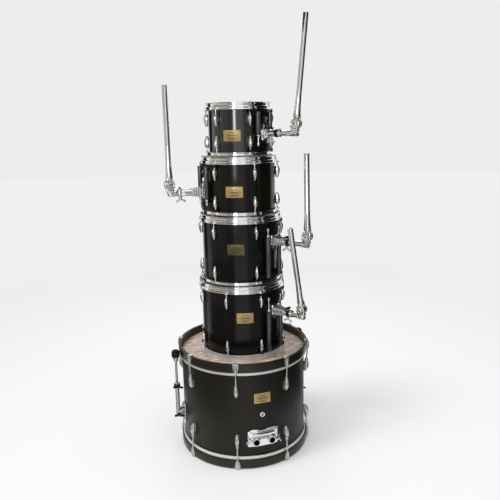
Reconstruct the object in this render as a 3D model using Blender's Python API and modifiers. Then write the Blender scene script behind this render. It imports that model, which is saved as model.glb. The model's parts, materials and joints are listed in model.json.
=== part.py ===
"""A drum shell pack: a bass drum that stands on its front hoop, with four toms stacked on it.

Lengths are in metres, angles in degrees and +Z is up. The bass drum's tom bracket faces -Y.
An azimuth is the direction of a fitting seen from above: 0 faces -Y and 90 faces +X.
Fittings are modelled in a local frame: X points away from the drum's axis, Y runs round
the shell and Z is up.
"""

import math

import bmesh
import bpy
from mathutils import Matrix, Vector

MM = 0.001
INCH = 25.4 * MM
GAP = 0.3 * MM  # room between two pieces that touch
OVERSHOOT = 1 * MM  # how far a cutter passes the face that it opens
LAP = 1 * MM  # how far two shapes of one piece reach into each other
SMOOTH_ANGLE = 35

# Bass drum
BASS_DIAMETER = 22 * INCH
BASS_DEPTH = 16 * INCH
BASS_WALL = 8 * MM
BASS_LUGS = 8
BASS_LUG_LENGTH = 70 * MM
BASS_LUG_INSET = 88 * MM  # from the bearing edge to the lug's middle
BASS_LUG_HALF_WIDTH = 11.5 * MM
BASS_LUG_HALF_DEPTH = 15 * MM
BASS_LUG_STANDOFF = 12 * MM
BASS_COLLAR = 1.3 * MM  # outside of a head's collar beyond the shell
BASS_ROD_RADIUS = 3 * MM
BASS_ROD_STANDOFF = 17 * MM
WOOD_HOOP_WIDTH = 38.5 * MM
WOOD_HOOP_THICKNESS = 12 * MM
WOOD_HOOP_OVERLAP = 4 * MM  # how far the hoop reaches past the head's plane
COLLAR_RING_WIDTH = 13.5 * MM
COLLAR_RING_THICKNESS = 7 * MM
CLAW_LENGTH = 50 * MM
CLAW_WIDTH = 25 * MM
CLAW_TIP_WIDTH = 13 * MM
CLAW_DEPTH = 14 * MM
CLAW_HOOK = 3.5 * MM
CLAW_HOOK_REACH = 11 * MM
CLAW_SINK = 2 * MM  # how deep a claw's back lies in the hoop
ROD_IN_CLAW = 5 * MM

# Lugs: an egg whose wide end is cut flat. Shares of its half width and half length.
LUG_FLAT = 0.6
LUG_WIDEST_AT = 0.1
LUG_TIP = 0.5

# Tom shells, heads and hoops
TOM_WALL = 7.5 * MM
TOM_LUG_LENGTH = 52 * MM
TOM_LUG_INSET = 57 * MM
TOM_LUG_HALF_WIDTH = 8.5 * MM
TOM_LUG_HALF_DEPTH = 14 * MM
TOM_LUG_STANDOFF = 10.5 * MM
TOM_ROD_RADIUS = 2.8 * MM
TOM_ROD_STANDOFF = 12 * MM
ROD_HEAD_RADIUS = 5.5 * MM
ROD_HEAD_HEIGHT = 7 * MM
FILM = 0.8 * MM
FLESH_HOOP_WIDTH = 4.6 * MM
FLESH_HOOP_HEIGHT = 8.7 * MM
COLLAR_WALL = 1.3 * MM
HEAD_SLACK = 0.9 * MM  # between the shell's outside and the head's collar
RIM_RISE = 12.5 * MM  # rim above the bearing edge
RIM_FLARE = 5.1 * MM
HOOP_STEEL = 2.4 * MM
SEAT_DROP = 4 * MM  # seat of the hoop below the bearing edge
SKIRT_HEIGHT = 12.5 * MM
FLANGE_WIDTH = 2.8 * MM

# Suspension mount of a tom
PLATE_THICKNESS = 4 * MM
PLATE_HEIGHT = 38 * MM
FOOT_PLATE_HEIGHT = 26 * MM
PLATE_LUG_CLEARANCE = 3 * MM
STRIP_HEIGHT = 9 * MM  # of the plates' narrow ends
BOSS_RADIUS = 8 * MM
BOSS_HEIGHT = 11.5 * MM
TONGUE_HALF_WIDTH = 27 * MM
TONGUE_MARGIN = 2 * MM  # beyond the clamp's tip
GUIDE_SPREAD = 40 * MM  # from the mount's middle to each telescoping rod
GUIDE_STANDOFF = 17 * MM
GUIDE_TUBE_RADIUS = 9 * MM
GUIDE_ROD_RADIUS = 4 * MM
GUIDE_COLLAR = 9 * MM
GUIDE_FOOT = 10 * MM  # its end above the foot plate's edge

# Arm clamp and holder of a tom
CLAMP_BASE_THICKNESS = 8 * MM
CLAMP_BASE_HALF_WIDTH = 25 * MM
CLAMP_BASE_SHORT = 28 * MM  # from the arm towards the batter head
CLAMP_BASE_LONG = 42 * MM  # from the arm to the base's tip
CLAMP_BASE_SHOULDER = 14 * MM  # where the base starts to narrow
CLAMP_BASE_TIP = 9 * MM
CLAMP_CONE_RADIUS = 23 * MM
CLAMP_NECK_RADIUS = 14 * MM
TUBE_RADIUS = 11.1 * MM
TUBE_WALL = 2 * MM
ARM_TUCKED = 4 * MM  # the arm's inner end starts this far past the clamp's base
ARM_SOCKET_RADIUS = 13.5 * MM
ARM_SOCKET_BACK = 26 * MM
ARM_PAST_TILTER = 8 * MM
ELBOW_BACK = 17 * MM
ELBOW_SHOULDER = 8 * MM  # below the tilter's axis
TILTER_RADIUS = 22 * MM
TILTER_HALF_WIDTH = 13 * MM
TILTER_RISE = 36.5 * MM
TILTER_BOLT_RADIUS = 8 * MM
TILTER_BOLT_HEAD = 6 * MM
POST_NECK_RADIUS = 13.5 * MM
POST_NECK_START = 25 * MM
POST_NECK_END = 52 * MM
POST_TAPER = 8 * MM
POST_SOLID = 60 * MM
POST_WEB_LAP = 6 * MM

# Wing bolts
BOLT_RADIUS = 3 * MM
BOLT_BOSS_RADIUS = 7 * MM
BOLT_BOSS_HEIGHT = 5 * MM
WING_HUB_RADIUS = 6.5 * MM
WING_HUB_HEIGHT = 9 * MM
WING_SPAN = 46 * MM
WING_DROP = 20 * MM
WING_THICKNESS = 4 * MM
WING_ROOT = 2.7 * MM  # from the hub's top to the wings
WING_SHAPE = ((0.2, 0), (1, 0.55), (0.8, 1), (0, 0.5))  # shares of the half span and the drop

# Bass tom bracket
BRACKET_HEIGHT = 137 * MM  # height of its middle above the front hoop's edge
BRACKET_HALF_WIDTH = 66 * MM
BRACKET_TALL = 76 * MM
BRACKET_THICKNESS = 9 * MM
BRACKET_STEPS = 6
SOCKET_DROP = 12 * MM  # sockets below the bracket's middle
SOCKET_SPREAD = 32 * MM
SOCKET_RADIUS = 21 * MM
SOCKET_REACH = 27 * MM
SOCKET_ROOT = 4 * MM  # the sockets start this far outside the shell
SOCKET_BOLT_STANDOFF = 20.5 * MM
SOCKET_BOSS_ROOT = 3 * MM  # the bolt's boss starts this far outside the tube
SOCKET_WING_SPAN = 36 * MM

# Spurs
SPUR_LEFT_AZIMUTH = -90
SPUR_RIGHT_AZIMUTH = 104
SPUR_HOOP_CLEARANCE = 1.4 * MM  # between the folded spur's foot and the hoop
SPUR_PIVOT_HEIGHT = 160 * MM  # above the front hoop's edge
SPUR_BASE_BELOW = 39 * MM  # from the pivot down
SPUR_BASE_ABOVE = 47 * MM
SPUR_BASE_THICKNESS = 6 * MM
SPUR_BASE_HALF_WIDTH = 20 * MM
SPUR_CHEEK = 5.5 * MM
SPUR_CHEEK_TALL = 34 * MM
SPUR_TUBE_RADIUS = 9.5 * MM
SPUR_TUBE_LENGTH = 146 * MM  # from the pivot to its clamp end
SPUR_TUBE_HEEL = 14 * MM
SPUR_BORE_START = 12 * MM
SPUR_CLAMP_RADIUS = 12.5 * MM
SPUR_CLAMP_LENGTH = 20 * MM
SPUR_CLAMP_TAPER = 2 * MM
SPUR_LEG_RADIUS = 5.5 * MM
SPUR_LEG_TUCKED = 66 * MM
SPUR_LEG_SHOWN = 99 * MM
SPUR_CONE_LENGTH = 22 * MM
SPUR_CONE_RADIUS = 12 * MM
SPUR_SPIGOT = 18 * MM
FOOT_RADIUS = 18.5 * MM
FOOT_TIP_RADIUS = 10 * MM
FOOT_HEIGHT = 36 * MM
FOOT_SHOULDER = 27 * MM
PIVOT_RADIUS = 4 * MM

# The toms' trade sizes, and the lengths of their holders' posts.
TOM14_DIAMETER = 14 * INCH
TOM14_DEPTH = 12 * INCH
TOM14_POST = 357 * MM
TOM13_DIAMETER = 13 * INCH
TOM13_DEPTH = 11 * INCH
TOM13_POST = 330 * MM
TOM12_DIAMETER = 12 * INCH
TOM12_DEPTH = 9 * INCH
TOM12_POST = 396 * MM
TOM10_DIAMETER = 10 * INCH
TOM10_DEPTH = 8 * INCH
TOM10_POST = 405 * MM

# How each tom stands in the stack, from the lowest up. A drum is turned over where its
# batter head faces down. Distances of the holder are measured from the drum's axis.
TOMS = [
    dict(name="tom14", diameter=TOM14_DIAMETER, depth=TOM14_DEPTH, lugs=8, over=False, azimuth=31.5,
         arm_inset=105 * MM, collar_inset=101 * MM, cone_end=255 * MM, wing_at=262 * MM,
         clamp_end=272 * MM, tilter=340 * MM, post=TOM14_POST, twist=12.5, lean=0.0),
    dict(name="tom13", diameter=TOM13_DIAMETER, depth=TOM13_DEPTH, lugs=6, over=False, azimuth=35.5,
         arm_inset=98 * MM, collar_inset=76 * MM, cone_end=238 * MM, wing_at=245 * MM,
         clamp_end=257 * MM, tilter=346 * MM, post=TOM13_POST, twist=1.5, lean=0.0),
    dict(name="tom12", diameter=TOM12_DIAMETER, depth=TOM12_DEPTH, lugs=6, over=True, azimuth=-83.7,
         arm_inset=96 * MM, collar_inset=65 * MM, cone_end=200 * MM, wing_at=266 * MM,
         clamp_end=276 * MM, tilter=311 * MM, post=TOM12_POST, twist=1.0, lean=0.0),
    dict(name="tom10", diameter=TOM10_DIAMETER, depth=TOM10_DEPTH, lugs=6, over=True, azimuth=34.0,
         arm_inset=90 * MM, collar_inset=84 * MM, cone_end=164 * MM, wing_at=172 * MM,
         clamp_end=208 * MM, tilter=297 * MM, post=TOM10_POST, twist=0.0, lean=6.0),
]

TOM_SEGMENTS = 20
BASS_SEGMENTS = 32
ROUND = 10  # sides of tubes and barrels
FINE = 6  # sides of lugs and small turned pieces
THIN = 5  # sides of rods

BASS_RADIUS = BASS_DIAMETER / 2
FILM_TOP = GAP + FILM
TONGUE_PAST_ARM = CLAMP_BASE_LONG + TONGUE_MARGIN
BASS_HOOP_INSIDE = BASS_RADIUS + BASS_COLLAR + GAP
SPUR_STANDOFF = BASS_HOOP_INSIDE - BASS_RADIUS + WOOD_HOOP_THICKNESS + SPUR_HOOP_CLEARANCE + FOOT_RADIUS
FRONT_PLANE = CLAW_HOOK + WOOD_HOOP_WIDTH - WOOD_HOOP_OVERLAP
BATTER_PLANE = FRONT_PLANE + BASS_DEPTH


def clear_scene():
    for obj in list(bpy.data.objects):
        bpy.data.objects.remove(obj, do_unlink=True)


def make_material(name, colour, roughness, metallic):
    material = bpy.data.materials.new(name)
    material.use_nodes = True
    shader = material.node_tree.nodes["Principled BSDF"]
    shader.inputs["Base Color"].default_value = (*colour, 1.0)
    shader.inputs["Roughness"].default_value = roughness
    shader.inputs["Metallic"].default_value = metallic
    return material


def add_object(name, mesh):
    obj = bpy.data.objects.new(name, mesh)
    parts.objects.link(obj)
    return obj


def settle(obj):
    """Turns the object's modifiers, or a curve's own settings, into a plain closed mesh."""
    bpy.context.view_layer.update()
    graph = bpy.context.evaluated_depsgraph_get()
    mesh = bpy.data.meshes.new_from_object(obj.evaluated_get(graph))
    obj.modifiers.clear()
    obj.data = mesh
    return obj


def weld(mesh):
    work = bmesh.new()
    work.from_mesh(mesh)
    bmesh.ops.remove_doubles(work, verts=work.verts, dist=0.01 * MM)
    work.to_mesh(mesh)
    work.free()


def transform(obj, matrix):
    obj.data.transform(matrix)
    return obj


def turned(name, profile, segments, ring=False):
    """Turns (radius, height) points about Z. The points run down the outer side."""
    mesh = bpy.data.meshes.new(name)
    edges = [(i, i + 1) for i in range(len(profile) - 1)]
    if ring:
        edges.append((len(profile) - 1, 0))
    mesh.from_pydata([(radius, 0, height) for radius, height in profile], edges, [])
    obj = add_object(name, mesh)
    screw = obj.modifiers.new("turn", 'SCREW')
    screw.axis = 'Z'
    screw.angle = math.tau
    screw.steps = segments
    screw.render_steps = segments
    screw.use_merge_vertices = True
    screw.merge_threshold = 0.01 * MM
    return settle(obj)


def at_plane(profile, plane, up):
    """Moves a profile drawn for a head that faces up to a bearing edge that faces up or down."""
    moved = [(radius, plane + up * height) for radius, height in profile]
    return moved if up > 0 else moved[::-1]


def cylinder(name, start, end, radius, sides=ROUND):
    start, end = Vector(start), Vector(end)
    axis = end - start
    place = Matrix.Translation((start + end) / 2) @ axis.to_track_quat('Z', 'X').to_matrix().to_4x4()
    work = bmesh.new()
    bmesh.ops.create_cone(work, cap_ends=True, segments=sides, radius1=radius, radius2=radius,
                          depth=axis.length, matrix=place)
    mesh = bpy.data.meshes.new(name)
    work.to_mesh(mesh)
    work.free()
    return add_object(name, mesh)


def bore(start, end, radius, sides=ROUND):
    """A cutter whose flats clear a round piece of the radius given, however that piece is turned."""
    start, end = Vector(start), Vector(end)
    outside = (radius + GAP) / math.cos(math.pi / sides)
    half_step = Matrix.Rotation(math.pi / sides, 4, end - start)
    centre = Matrix.Translation(start)
    return transform(cylinder("bore", start, end, outside, sides), centre @ half_step @ centre.inverted())


def box(name, low, high):
    """A block between two corners."""
    low, high = Vector(low), Vector(high)
    work = bmesh.new()
    bmesh.ops.create_cube(work, size=1.0)
    for vert in work.verts:
        vert.co = Vector(c * s for c, s in zip(vert.co, high - low)) + (low + high) / 2
    mesh = bpy.data.meshes.new(name)
    work.to_mesh(mesh)
    work.free()
    return add_object(name, mesh)


def flat_outline(name, points, thickness):
    """A flat plate in the XY plane with the outline given."""
    curve = bpy.data.curves.new(name, 'CURVE')
    curve.dimensions = '2D'
    curve.fill_mode = 'BOTH'
    curve.extrude = thickness / 2
    spline = curve.splines.new('POLY')
    spline.points.add(len(points) - 1)
    for point, (x, y) in zip(spline.points, points):
        point.co = (x, y, 0, 1)
    spline.use_cyclic_u = True
    source = add_object(name + "_outline", curve)
    bpy.context.view_layer.update()
    graph = bpy.context.evaluated_depsgraph_get()
    mesh = bpy.data.meshes.new_from_object(source.evaluated_get(graph))
    weld(mesh)
    bpy.data.objects.remove(source, do_unlink=True)
    return add_object(name, mesh)


def bent_sheet(name, angles, heights, cells, radius, thickness):
    """A sheet bent round Z: a grid whose unwanted cells are cut away, then thickened outwards.

    Angles are in degrees from +X. cells holds, for each row of the grid, the columns kept.
    """
    columns, rows = len(angles) - 1, len(heights) - 1
    work = bmesh.new()
    bmesh.ops.create_grid(work, x_segments=columns, y_segments=rows, size=0.5)
    unwanted = []
    for face in work.faces:
        middle = face.calc_center_median()
        column = int((middle.x + 0.5) * columns)
        row = int((middle.y + 0.5) * rows)
        if column not in cells[row]:
            unwanted.append(face)
    bmesh.ops.delete(work, geom=unwanted, context='FACES')
    for vert in work.verts:
        angle = math.radians(angles[round((vert.co.x + 0.5) * columns)])
        height = heights[round((vert.co.y + 0.5) * rows)]
        vert.co = (radius * math.cos(angle), radius * math.sin(angle), height)
    mesh = bpy.data.meshes.new(name)
    work.to_mesh(mesh)
    work.free()
    obj = add_object(name, mesh)
    wall = obj.modifiers.new("thickness", 'SOLIDIFY')
    wall.thickness = thickness
    wall.offset = 1
    wall.use_even_offset = True
    return settle(obj)


def repeated(name, pattern, matrices):
    """One object that holds a copy of the pattern at each place."""
    work = bmesh.new()
    for matrix in matrices:
        copy = pattern.data.copy()
        copy.transform(matrix)
        work.from_mesh(copy)
        bpy.data.meshes.remove(copy)
    mesh = bpy.data.meshes.new(name)
    work.to_mesh(mesh)
    work.free()
    bpy.data.objects.remove(pattern, do_unlink=True)
    return add_object(name, mesh)


def combine(base, other, operation='UNION'):
    boolean = base.modifiers.new("combine", 'BOOLEAN')
    boolean.operation = operation
    boolean.solver = 'EXACT'
    boolean.object = other
    settle(base)
    bpy.data.objects.remove(other, do_unlink=True)
    return base


def fuse(base, *others):
    for other in others:
        combine(base, other)
    return base


def cut(base, *cutters):
    for cutter in cutters:
        combine(base, cutter, 'DIFFERENCE')
    return base


def facing(azimuth):
    """The turn that takes local X to an azimuth."""
    return Matrix.Rotation(math.radians(azimuth - 90), 4, 'Z')


def shift(x=0.0, y=0.0, z=0.0):
    return Matrix.Translation((x, y, z))


def finish(obj, name, material, place):
    """Names a piece, shades it and stands it in the pack."""
    weld(obj.data)
    obj.name = name
    obj.data.name = name
    obj.data.materials.clear()
    obj.data.materials.append(material)
    obj.data.shade_smooth()
    obj.data.set_sharp_from_angle(angle=math.radians(SMOOTH_ANGLE))
    obj.matrix_world = place
    obj.parent = frame
    return obj


def lug_azimuths(count, middle):
    """Lugs evenly round a drum, with the azimuth given halfway between two of them."""
    pitch = 360 / count
    return [middle + pitch * (i + 0.5) for i in range(count)]


def lug(length, half_width, half_depth):
    """An egg-shaped lug with its flat end up, stretched away from the shell."""
    half = length / 2
    egg = turned("lug", [(0, half), (half_width * LUG_FLAT, half), (half_width, half * LUG_WIDEST_AT),
                         (half_width * LUG_TIP, -half), (0, -half)], FINE)
    return transform(egg, Matrix.Diagonal((half_depth / half_width, 1, 1, 1)))


def shell_with_lugs(radius, wall, depth, segments, azimuths, pattern, standoff, inset):
    """The shell stands on its lower bearing edge, at height 0."""
    shell = turned("shell", [(radius, depth), (radius, 0), (radius - wall, 0),
                             (radius - wall, depth)], segments, ring=True)
    turn_over = Matrix.Rotation(math.pi, 4, 'X')
    places = []
    for azimuth in azimuths:
        reach = facing(azimuth) @ shift(x=radius + standoff)
        places.append(reach @ shift(z=depth - inset))
        places.append(reach @ shift(z=inset) @ turn_over)
    return fuse(shell, repeated("lugs", pattern, places))


def tom_head(radius, segments, up):
    """A head as one turned piece: film, collar and the flesh hoop that the hoop pulls down."""
    inner = radius + HEAD_SLACK
    collar = inner + COLLAR_WALL
    seat = -SEAT_DROP - GAP
    foot = seat - FLESH_HOOP_HEIGHT
    profile = [(0, FILM_TOP), (collar, FILM_TOP), (collar, seat), (collar + FLESH_HOOP_WIDTH, seat),
               (collar + FLESH_HOOP_WIDTH, foot), (inner, foot), (inner, GAP), (0, GAP)]
    return turned("head", at_plane(profile, 0, up), segments)


def tom_hoop(radius, segments, azimuths, up):
    """A flanged hoop: rim, seat and skirt in one section, with its tension rods."""
    inner = radius + HEAD_SLACK + COLLAR_WALL + GAP
    outer = inner + HOOP_STEEL
    skirt = inner + FLESH_HOOP_WIDTH + GAP
    skirt_out = skirt + HOOP_STEEL
    flange = -SEAT_DROP - SKIRT_HEIGHT
    profile = [(outer + RIM_FLARE, RIM_RISE), (outer, RIM_RISE - RIM_FLARE),
               (outer, -SEAT_DROP + HOOP_STEEL), (skirt_out, -SEAT_DROP + HOOP_STEEL),
               (skirt_out + FLANGE_WIDTH, flange), (skirt, flange), (skirt, -SEAT_DROP),
               (inner, -SEAT_DROP), (inner, RIM_RISE)]
    hoop = turned("hoop", at_plane(profile, 0, up), segments, ring=True)
    lug_top = -(TOM_LUG_INSET - TOM_LUG_LENGTH / 2)
    top = flange + HOOP_STEEL + ROD_HEAD_HEIGHT
    rod = turned("rod", at_plane([(0, top), (ROD_HEAD_RADIUS, top), (ROD_HEAD_RADIUS, flange - GAP),
                                  (TOM_ROD_RADIUS, flange - GAP), (TOM_ROD_RADIUS, lug_top + GAP),
                                  (0, lug_top + GAP)], 0, up), THIN)
    places = [facing(azimuth) @ shift(x=radius + TOM_ROD_STANDOFF) for azimuth in azimuths]
    return fuse(hoop, repeated("rods", rod, places))


def plate_inside(radius):
    return radius + TOM_ROD_STANDOFF - PLATE_THICKNESS / 2


def tongue_angle(radius):
    return math.degrees(TONGUE_HALF_WIDTH / plate_inside(radius))


def clamp_seat(radius):
    """Distance from the drum's axis to the back of the clamp, which sits on the mount's flat tongue."""
    flat = plate_inside(radius) * math.cos(math.radians(tongue_angle(radius)))
    return flat + PLATE_THICKNESS + GAP


def mount_frame(tom, radius):
    """Two bent plates that hang on the tension rods, joined by two telescoping rods.

    Height 0 is the batter bearing edge and the shell lies below it.
    """
    depth = tom["depth"]
    half_pitch = 180 / tom["lugs"]
    inner = plate_inside(radius)
    room = math.degrees((TOM_LUG_HALF_WIDTH + PLATE_LUG_CLEARANCE) / inner)
    tongue = tongue_angle(radius)
    wide = half_pitch - room
    angles = [-half_pitch, -wide, -tongue, tongue, wide, half_pitch]
    hoop_foot = SEAT_DROP + SKIRT_HEIGHT + GAP
    strip = hoop_foot + GAP + STRIP_HEIGHT
    plate = hoop_foot + GAP + PLATE_HEIGHT
    all_columns, plate_columns, tongue_columns = range(5), range(1, 4), (2,)
    main = bent_sheet("main", angles, [-tom["arm_inset"] - TONGUE_PAST_ARM, -plate, -strip,
                                       -hoop_foot - 2 * GAP],
                      [tongue_columns, plate_columns, all_columns], inner, PLATE_THICKNESS)
    foot = bent_sheet("foot", angles, [-depth + hoop_foot + 2 * GAP, -depth + strip,
                                       -depth + hoop_foot + FOOT_PLATE_HEIGHT],
                      [all_columns, plate_columns], inner, PLATE_THICKNESS)
    spread = math.asin(GUIDE_SPREAD / (radius + GUIDE_STANDOFF))
    guide_foot = -depth + hoop_foot + GUIDE_FOOT
    guide_top = -plate + 2 * GUIDE_COLLAR
    collar = -tom["collar_inset"]
    for side in (-1, 1):
        guide = turned("guide", [(0, guide_top), (GUIDE_TUBE_RADIUS, guide_top),
                                 (GUIDE_TUBE_RADIUS, GUIDE_COLLAR - plate), (GUIDE_ROD_RADIUS, -plate),
                                 (GUIDE_ROD_RADIUS, collar), (GUIDE_TUBE_RADIUS, collar - GUIDE_COLLAR),
                                 (GUIDE_TUBE_RADIUS, guide_foot), (0, guide_foot)], FINE)
        reach = radius + GUIDE_STANDOFF
        transform(guide, Matrix.Rotation(side * spread, 4, 'Z') @ shift(x=reach))
        fuse(main, guide)
    fuse(main, foot)
    for side in (-1, 1):
        turn = Matrix.Rotation(math.radians(side * half_pitch), 4, 'Z') @ shift(
            x=radius + TOM_ROD_STANDOFF)
        for top, bottom in ((-hoop_foot - GAP, -hoop_foot - BOSS_HEIGHT),
                            (-depth + hoop_foot + BOSS_HEIGHT, -depth + hoop_foot + GAP)):
            boss = cylinder("boss", (0, 0, bottom), (0, 0, top), BOSS_RADIUS, FINE)
            hole = bore((0, 0, bottom - BOSS_HEIGHT), (0, 0, top + BOSS_HEIGHT), TOM_ROD_RADIUS, FINE)
            fuse(main, transform(boss, turn))
            cut(main, transform(hole, turn))
    return main


def along_x(obj, x=0.0):
    """Lays a piece turned about Z along X."""
    return transform(obj, shift(x=x) @ Matrix.Rotation(math.pi / 2, 4, 'Y'))


def clamp_bracket(tom, radius):
    """A shield-shaped base on the mount's tongue, and a cone that the holder arm passes into, along X."""
    start = clamp_seat(radius)
    face = start + CLAMP_BASE_THICKNESS
    middle = (start + face) / 2
    end = tom["clamp_end"]
    half = CLAMP_BASE_HALF_WIDTH
    down = -1 if tom["over"] else 1
    outline = [(half, CLAMP_BASE_SHORT), (-half, CLAMP_BASE_SHORT), (-half, -CLAMP_BASE_SHOULDER),
               (-CLAMP_BASE_TIP, -CLAMP_BASE_LONG), (CLAMP_BASE_TIP, -CLAMP_BASE_LONG),
               (half, -CLAMP_BASE_SHOULDER)]
    base = flat_outline("base", [(y, z * down) for y, z in outline], CLAMP_BASE_THICKNESS)
    across = Matrix(((0, 0, 1, middle), (1, 0, 0, 0), (0, 1, 0, 0), (0, 0, 0, 1)))
    transform(base, across)
    barrel = along_x(turned("barrel", [(0, end), (CLAMP_NECK_RADIUS, end),
                                       (CLAMP_NECK_RADIUS, tom["cone_end"]), (CLAMP_CONE_RADIUS, face),
                                       (CLAMP_CONE_RADIUS, middle), (0, middle)], ROUND))
    bolt_seat = CLAMP_NECK_RADIUS + BOLT_BOSS_HEIGHT
    at = tom["wing_at"]
    boss = cylinder("boss", (at, 0, -bolt_seat), (at, 0, 0), BOLT_BOSS_RADIUS, FINE)
    return cut(fuse(base, barrel, boss), bore((face, 0, 0), (end + OVERSHOOT, 0, 0), TUBE_RADIUS),
               bore((at, 0, -bolt_seat - OVERSHOOT), (at, 0, 0), BOLT_RADIUS, FINE))


def wing_bolt(shaft_start, shaft_end, span=WING_SPAN):
    """A bolt along -Z whose wings hang below its hub. Heights count down from the bolt's axis point."""
    hub_end = shaft_end + WING_HUB_HEIGHT
    bolt = turned("bolt", [(0, -shaft_start), (BOLT_RADIUS, -shaft_start), (BOLT_RADIUS, -shaft_end),
                           (WING_HUB_RADIUS, -shaft_end), (WING_HUB_RADIUS, -hub_end),
                           (0, -hub_end)], FINE)
    half = span / 2
    outline = [(-half * out, -WING_DROP * down) for out, down in WING_SHAPE]
    outline += [(-x, y) for x, y in outline[-2::-1]]
    wings = flat_outline("wings", outline, WING_THICKNESS)
    stand = shift(z=-shaft_end - WING_ROOT) @ Matrix.Rotation(math.pi / 2, 4, 'X')
    return fuse(bolt, transform(wings, stand))


def holder_arm(tom, radius):
    """Short tube along X with the tilter's fixed half standing on its outer end."""
    start = clamp_seat(radius) + CLAMP_BASE_THICKNESS + ARM_TUCKED
    tilter = tom["tilter"]
    tube = cylinder("tube", (start, 0, 0), (tilter, 0, 0), TUBE_RADIUS)
    socket = cylinder("socket", (tilter - ARM_SOCKET_BACK, 0, 0), (tilter + ARM_PAST_TILTER, 0, 0),
                      ARM_SOCKET_RADIUS)
    shoulder = TILTER_RISE - ELBOW_SHOULDER
    reach = math.sqrt(TILTER_RADIUS ** 2 - ELBOW_SHOULDER ** 2)
    web = flat_outline("web", [(-ELBOW_BACK, 0), (ARM_PAST_TILTER, -ARM_SOCKET_RADIUS / 2),
                               (reach, shoulder), (-reach, shoulder)], TILTER_HALF_WIDTH - 2 * GAP)
    stand = Matrix.Rotation(math.pi / 2, 4, 'X')
    transform(web, shift(x=tilter, y=-TILTER_HALF_WIDTH / 2) @ stand)
    disc = cylinder("disc", (tilter, -TILTER_HALF_WIDTH, TILTER_RISE),
                    (tilter, -GAP / 2, TILTER_RISE), TILTER_RADIUS)
    head = cylinder("head", (tilter, -TILTER_HALF_WIDTH - TILTER_BOLT_HEAD, TILTER_RISE),
                    (tilter, -TILTER_HALF_WIDTH / 2, TILTER_RISE), TILTER_BOLT_RADIUS, THIN)
    return fuse(tube, socket, web, disc, head)


def holder_post(tom):
    """Tilter's moving half and the long tube, open at its top end. Its origin is the tilter's axis."""
    disc = cylinder("disc", (0, GAP / 2, 0), (0, TILTER_HALF_WIDTH, 0), TILTER_RADIUS)
    web = box("web", (-TILTER_HALF_WIDTH + GAP, GAP, 0),
              (TILTER_HALF_WIDTH - GAP, TILTER_HALF_WIDTH - GAP, POST_NECK_START + POST_WEB_LAP))
    inside = TUBE_RADIUS - TUBE_WALL
    tube = turned("tube", [(0, POST_SOLID), (inside, POST_SOLID), (inside, tom["post"]),
                           (TUBE_RADIUS, tom["post"]), (TUBE_RADIUS, POST_NECK_END),
                           (POST_NECK_RADIUS, POST_NECK_END - POST_TAPER),
                           (POST_NECK_RADIUS, POST_NECK_START), (0, POST_NECK_START)], ROUND)
    head = cylinder("head", (0, TILTER_HALF_WIDTH / 2, 0),
                    (0, TILTER_HALF_WIDTH + TILTER_BOLT_HEAD, 0), TILTER_BOLT_RADIUS, THIN)
    return fuse(tube, web, disc, head)


def build_tom(tom, base):
    """Builds one tom with its rim at the height given and returns the height of its top head."""
    name = tom["name"]
    radius = tom["diameter"] / 2
    low = base + RIM_RISE
    high = low + tom["depth"]
    over = tom["over"]
    azimuths = lug_azimuths(tom["lugs"], tom["azimuth"])
    shell = shell_with_lugs(radius, TOM_WALL, tom["depth"], TOM_SEGMENTS, azimuths,
                            lug(TOM_LUG_LENGTH, TOM_LUG_HALF_WIDTH, TOM_LUG_HALF_DEPTH),
                            TOM_LUG_STANDOFF, TOM_LUG_INSET)
    finish(shell, name + "_shell", lacquer, shift(z=low))
    for up, height in ((-1, low), (1, high)):
        side = "batter" if (up > 0) != over else "resonant"
        finish(tom_head(radius, TOM_SEGMENTS, up), f"{name}_{side}_head", film, shift(z=height))
        finish(tom_hoop(radius, TOM_SEGMENTS, azimuths, up), f"{name}_{side}_hoop", chrome,
               shift(z=height))
    flip = Matrix.Rotation(math.pi if over else 0, 4, 'X')
    batter_edge = low if over else high
    turn = facing(tom["azimuth"])
    finish(mount_frame(tom, radius), name + "_mount_frame", black_steel,
           shift(z=batter_edge) @ turn @ flip)
    arm_height = batter_edge + (tom["arm_inset"] if over else -tom["arm_inset"])
    arm_frame = shift(z=arm_height) @ turn
    finish(clamp_bracket(tom, radius), name + "_clamp_bracket", chrome, arm_frame)
    twisted = arm_frame @ Matrix.Rotation(math.radians(tom["twist"]), 4, 'X')
    finish(holder_arm(tom, radius), name + "_holder_arm", chrome, twisted)
    tilter = twisted @ shift(x=tom["tilter"], z=TILTER_RISE)
    finish(holder_post(tom), name + "_holder_post", chrome,
           tilter @ Matrix.Rotation(math.radians(tom["lean"]), 4, 'Y'))
    finish(wing_bolt(TUBE_RADIUS + 2 * GAP, CLAMP_NECK_RADIUS + BOLT_BOSS_HEIGHT + GAP),
           name + "_wing_bolt", chrome, arm_frame @ shift(x=tom["wing_at"]))
    return high + FILM_TOP + GAP


def bass_head(up):
    inner = BASS_RADIUS + GAP
    collar = BASS_RADIUS + BASS_COLLAR
    ring = inner + COLLAR_RING_THICKNESS
    seat = -WOOD_HOOP_OVERLAP - GAP
    foot = seat - COLLAR_RING_WIDTH
    profile = [(0, FILM_TOP), (collar, FILM_TOP), (collar, seat), (ring, seat), (ring, foot),
               (inner, foot), (inner, GAP), (0, GAP)]
    return turned("head", at_plane(profile, 0, up), BASS_SEGMENTS)


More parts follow.
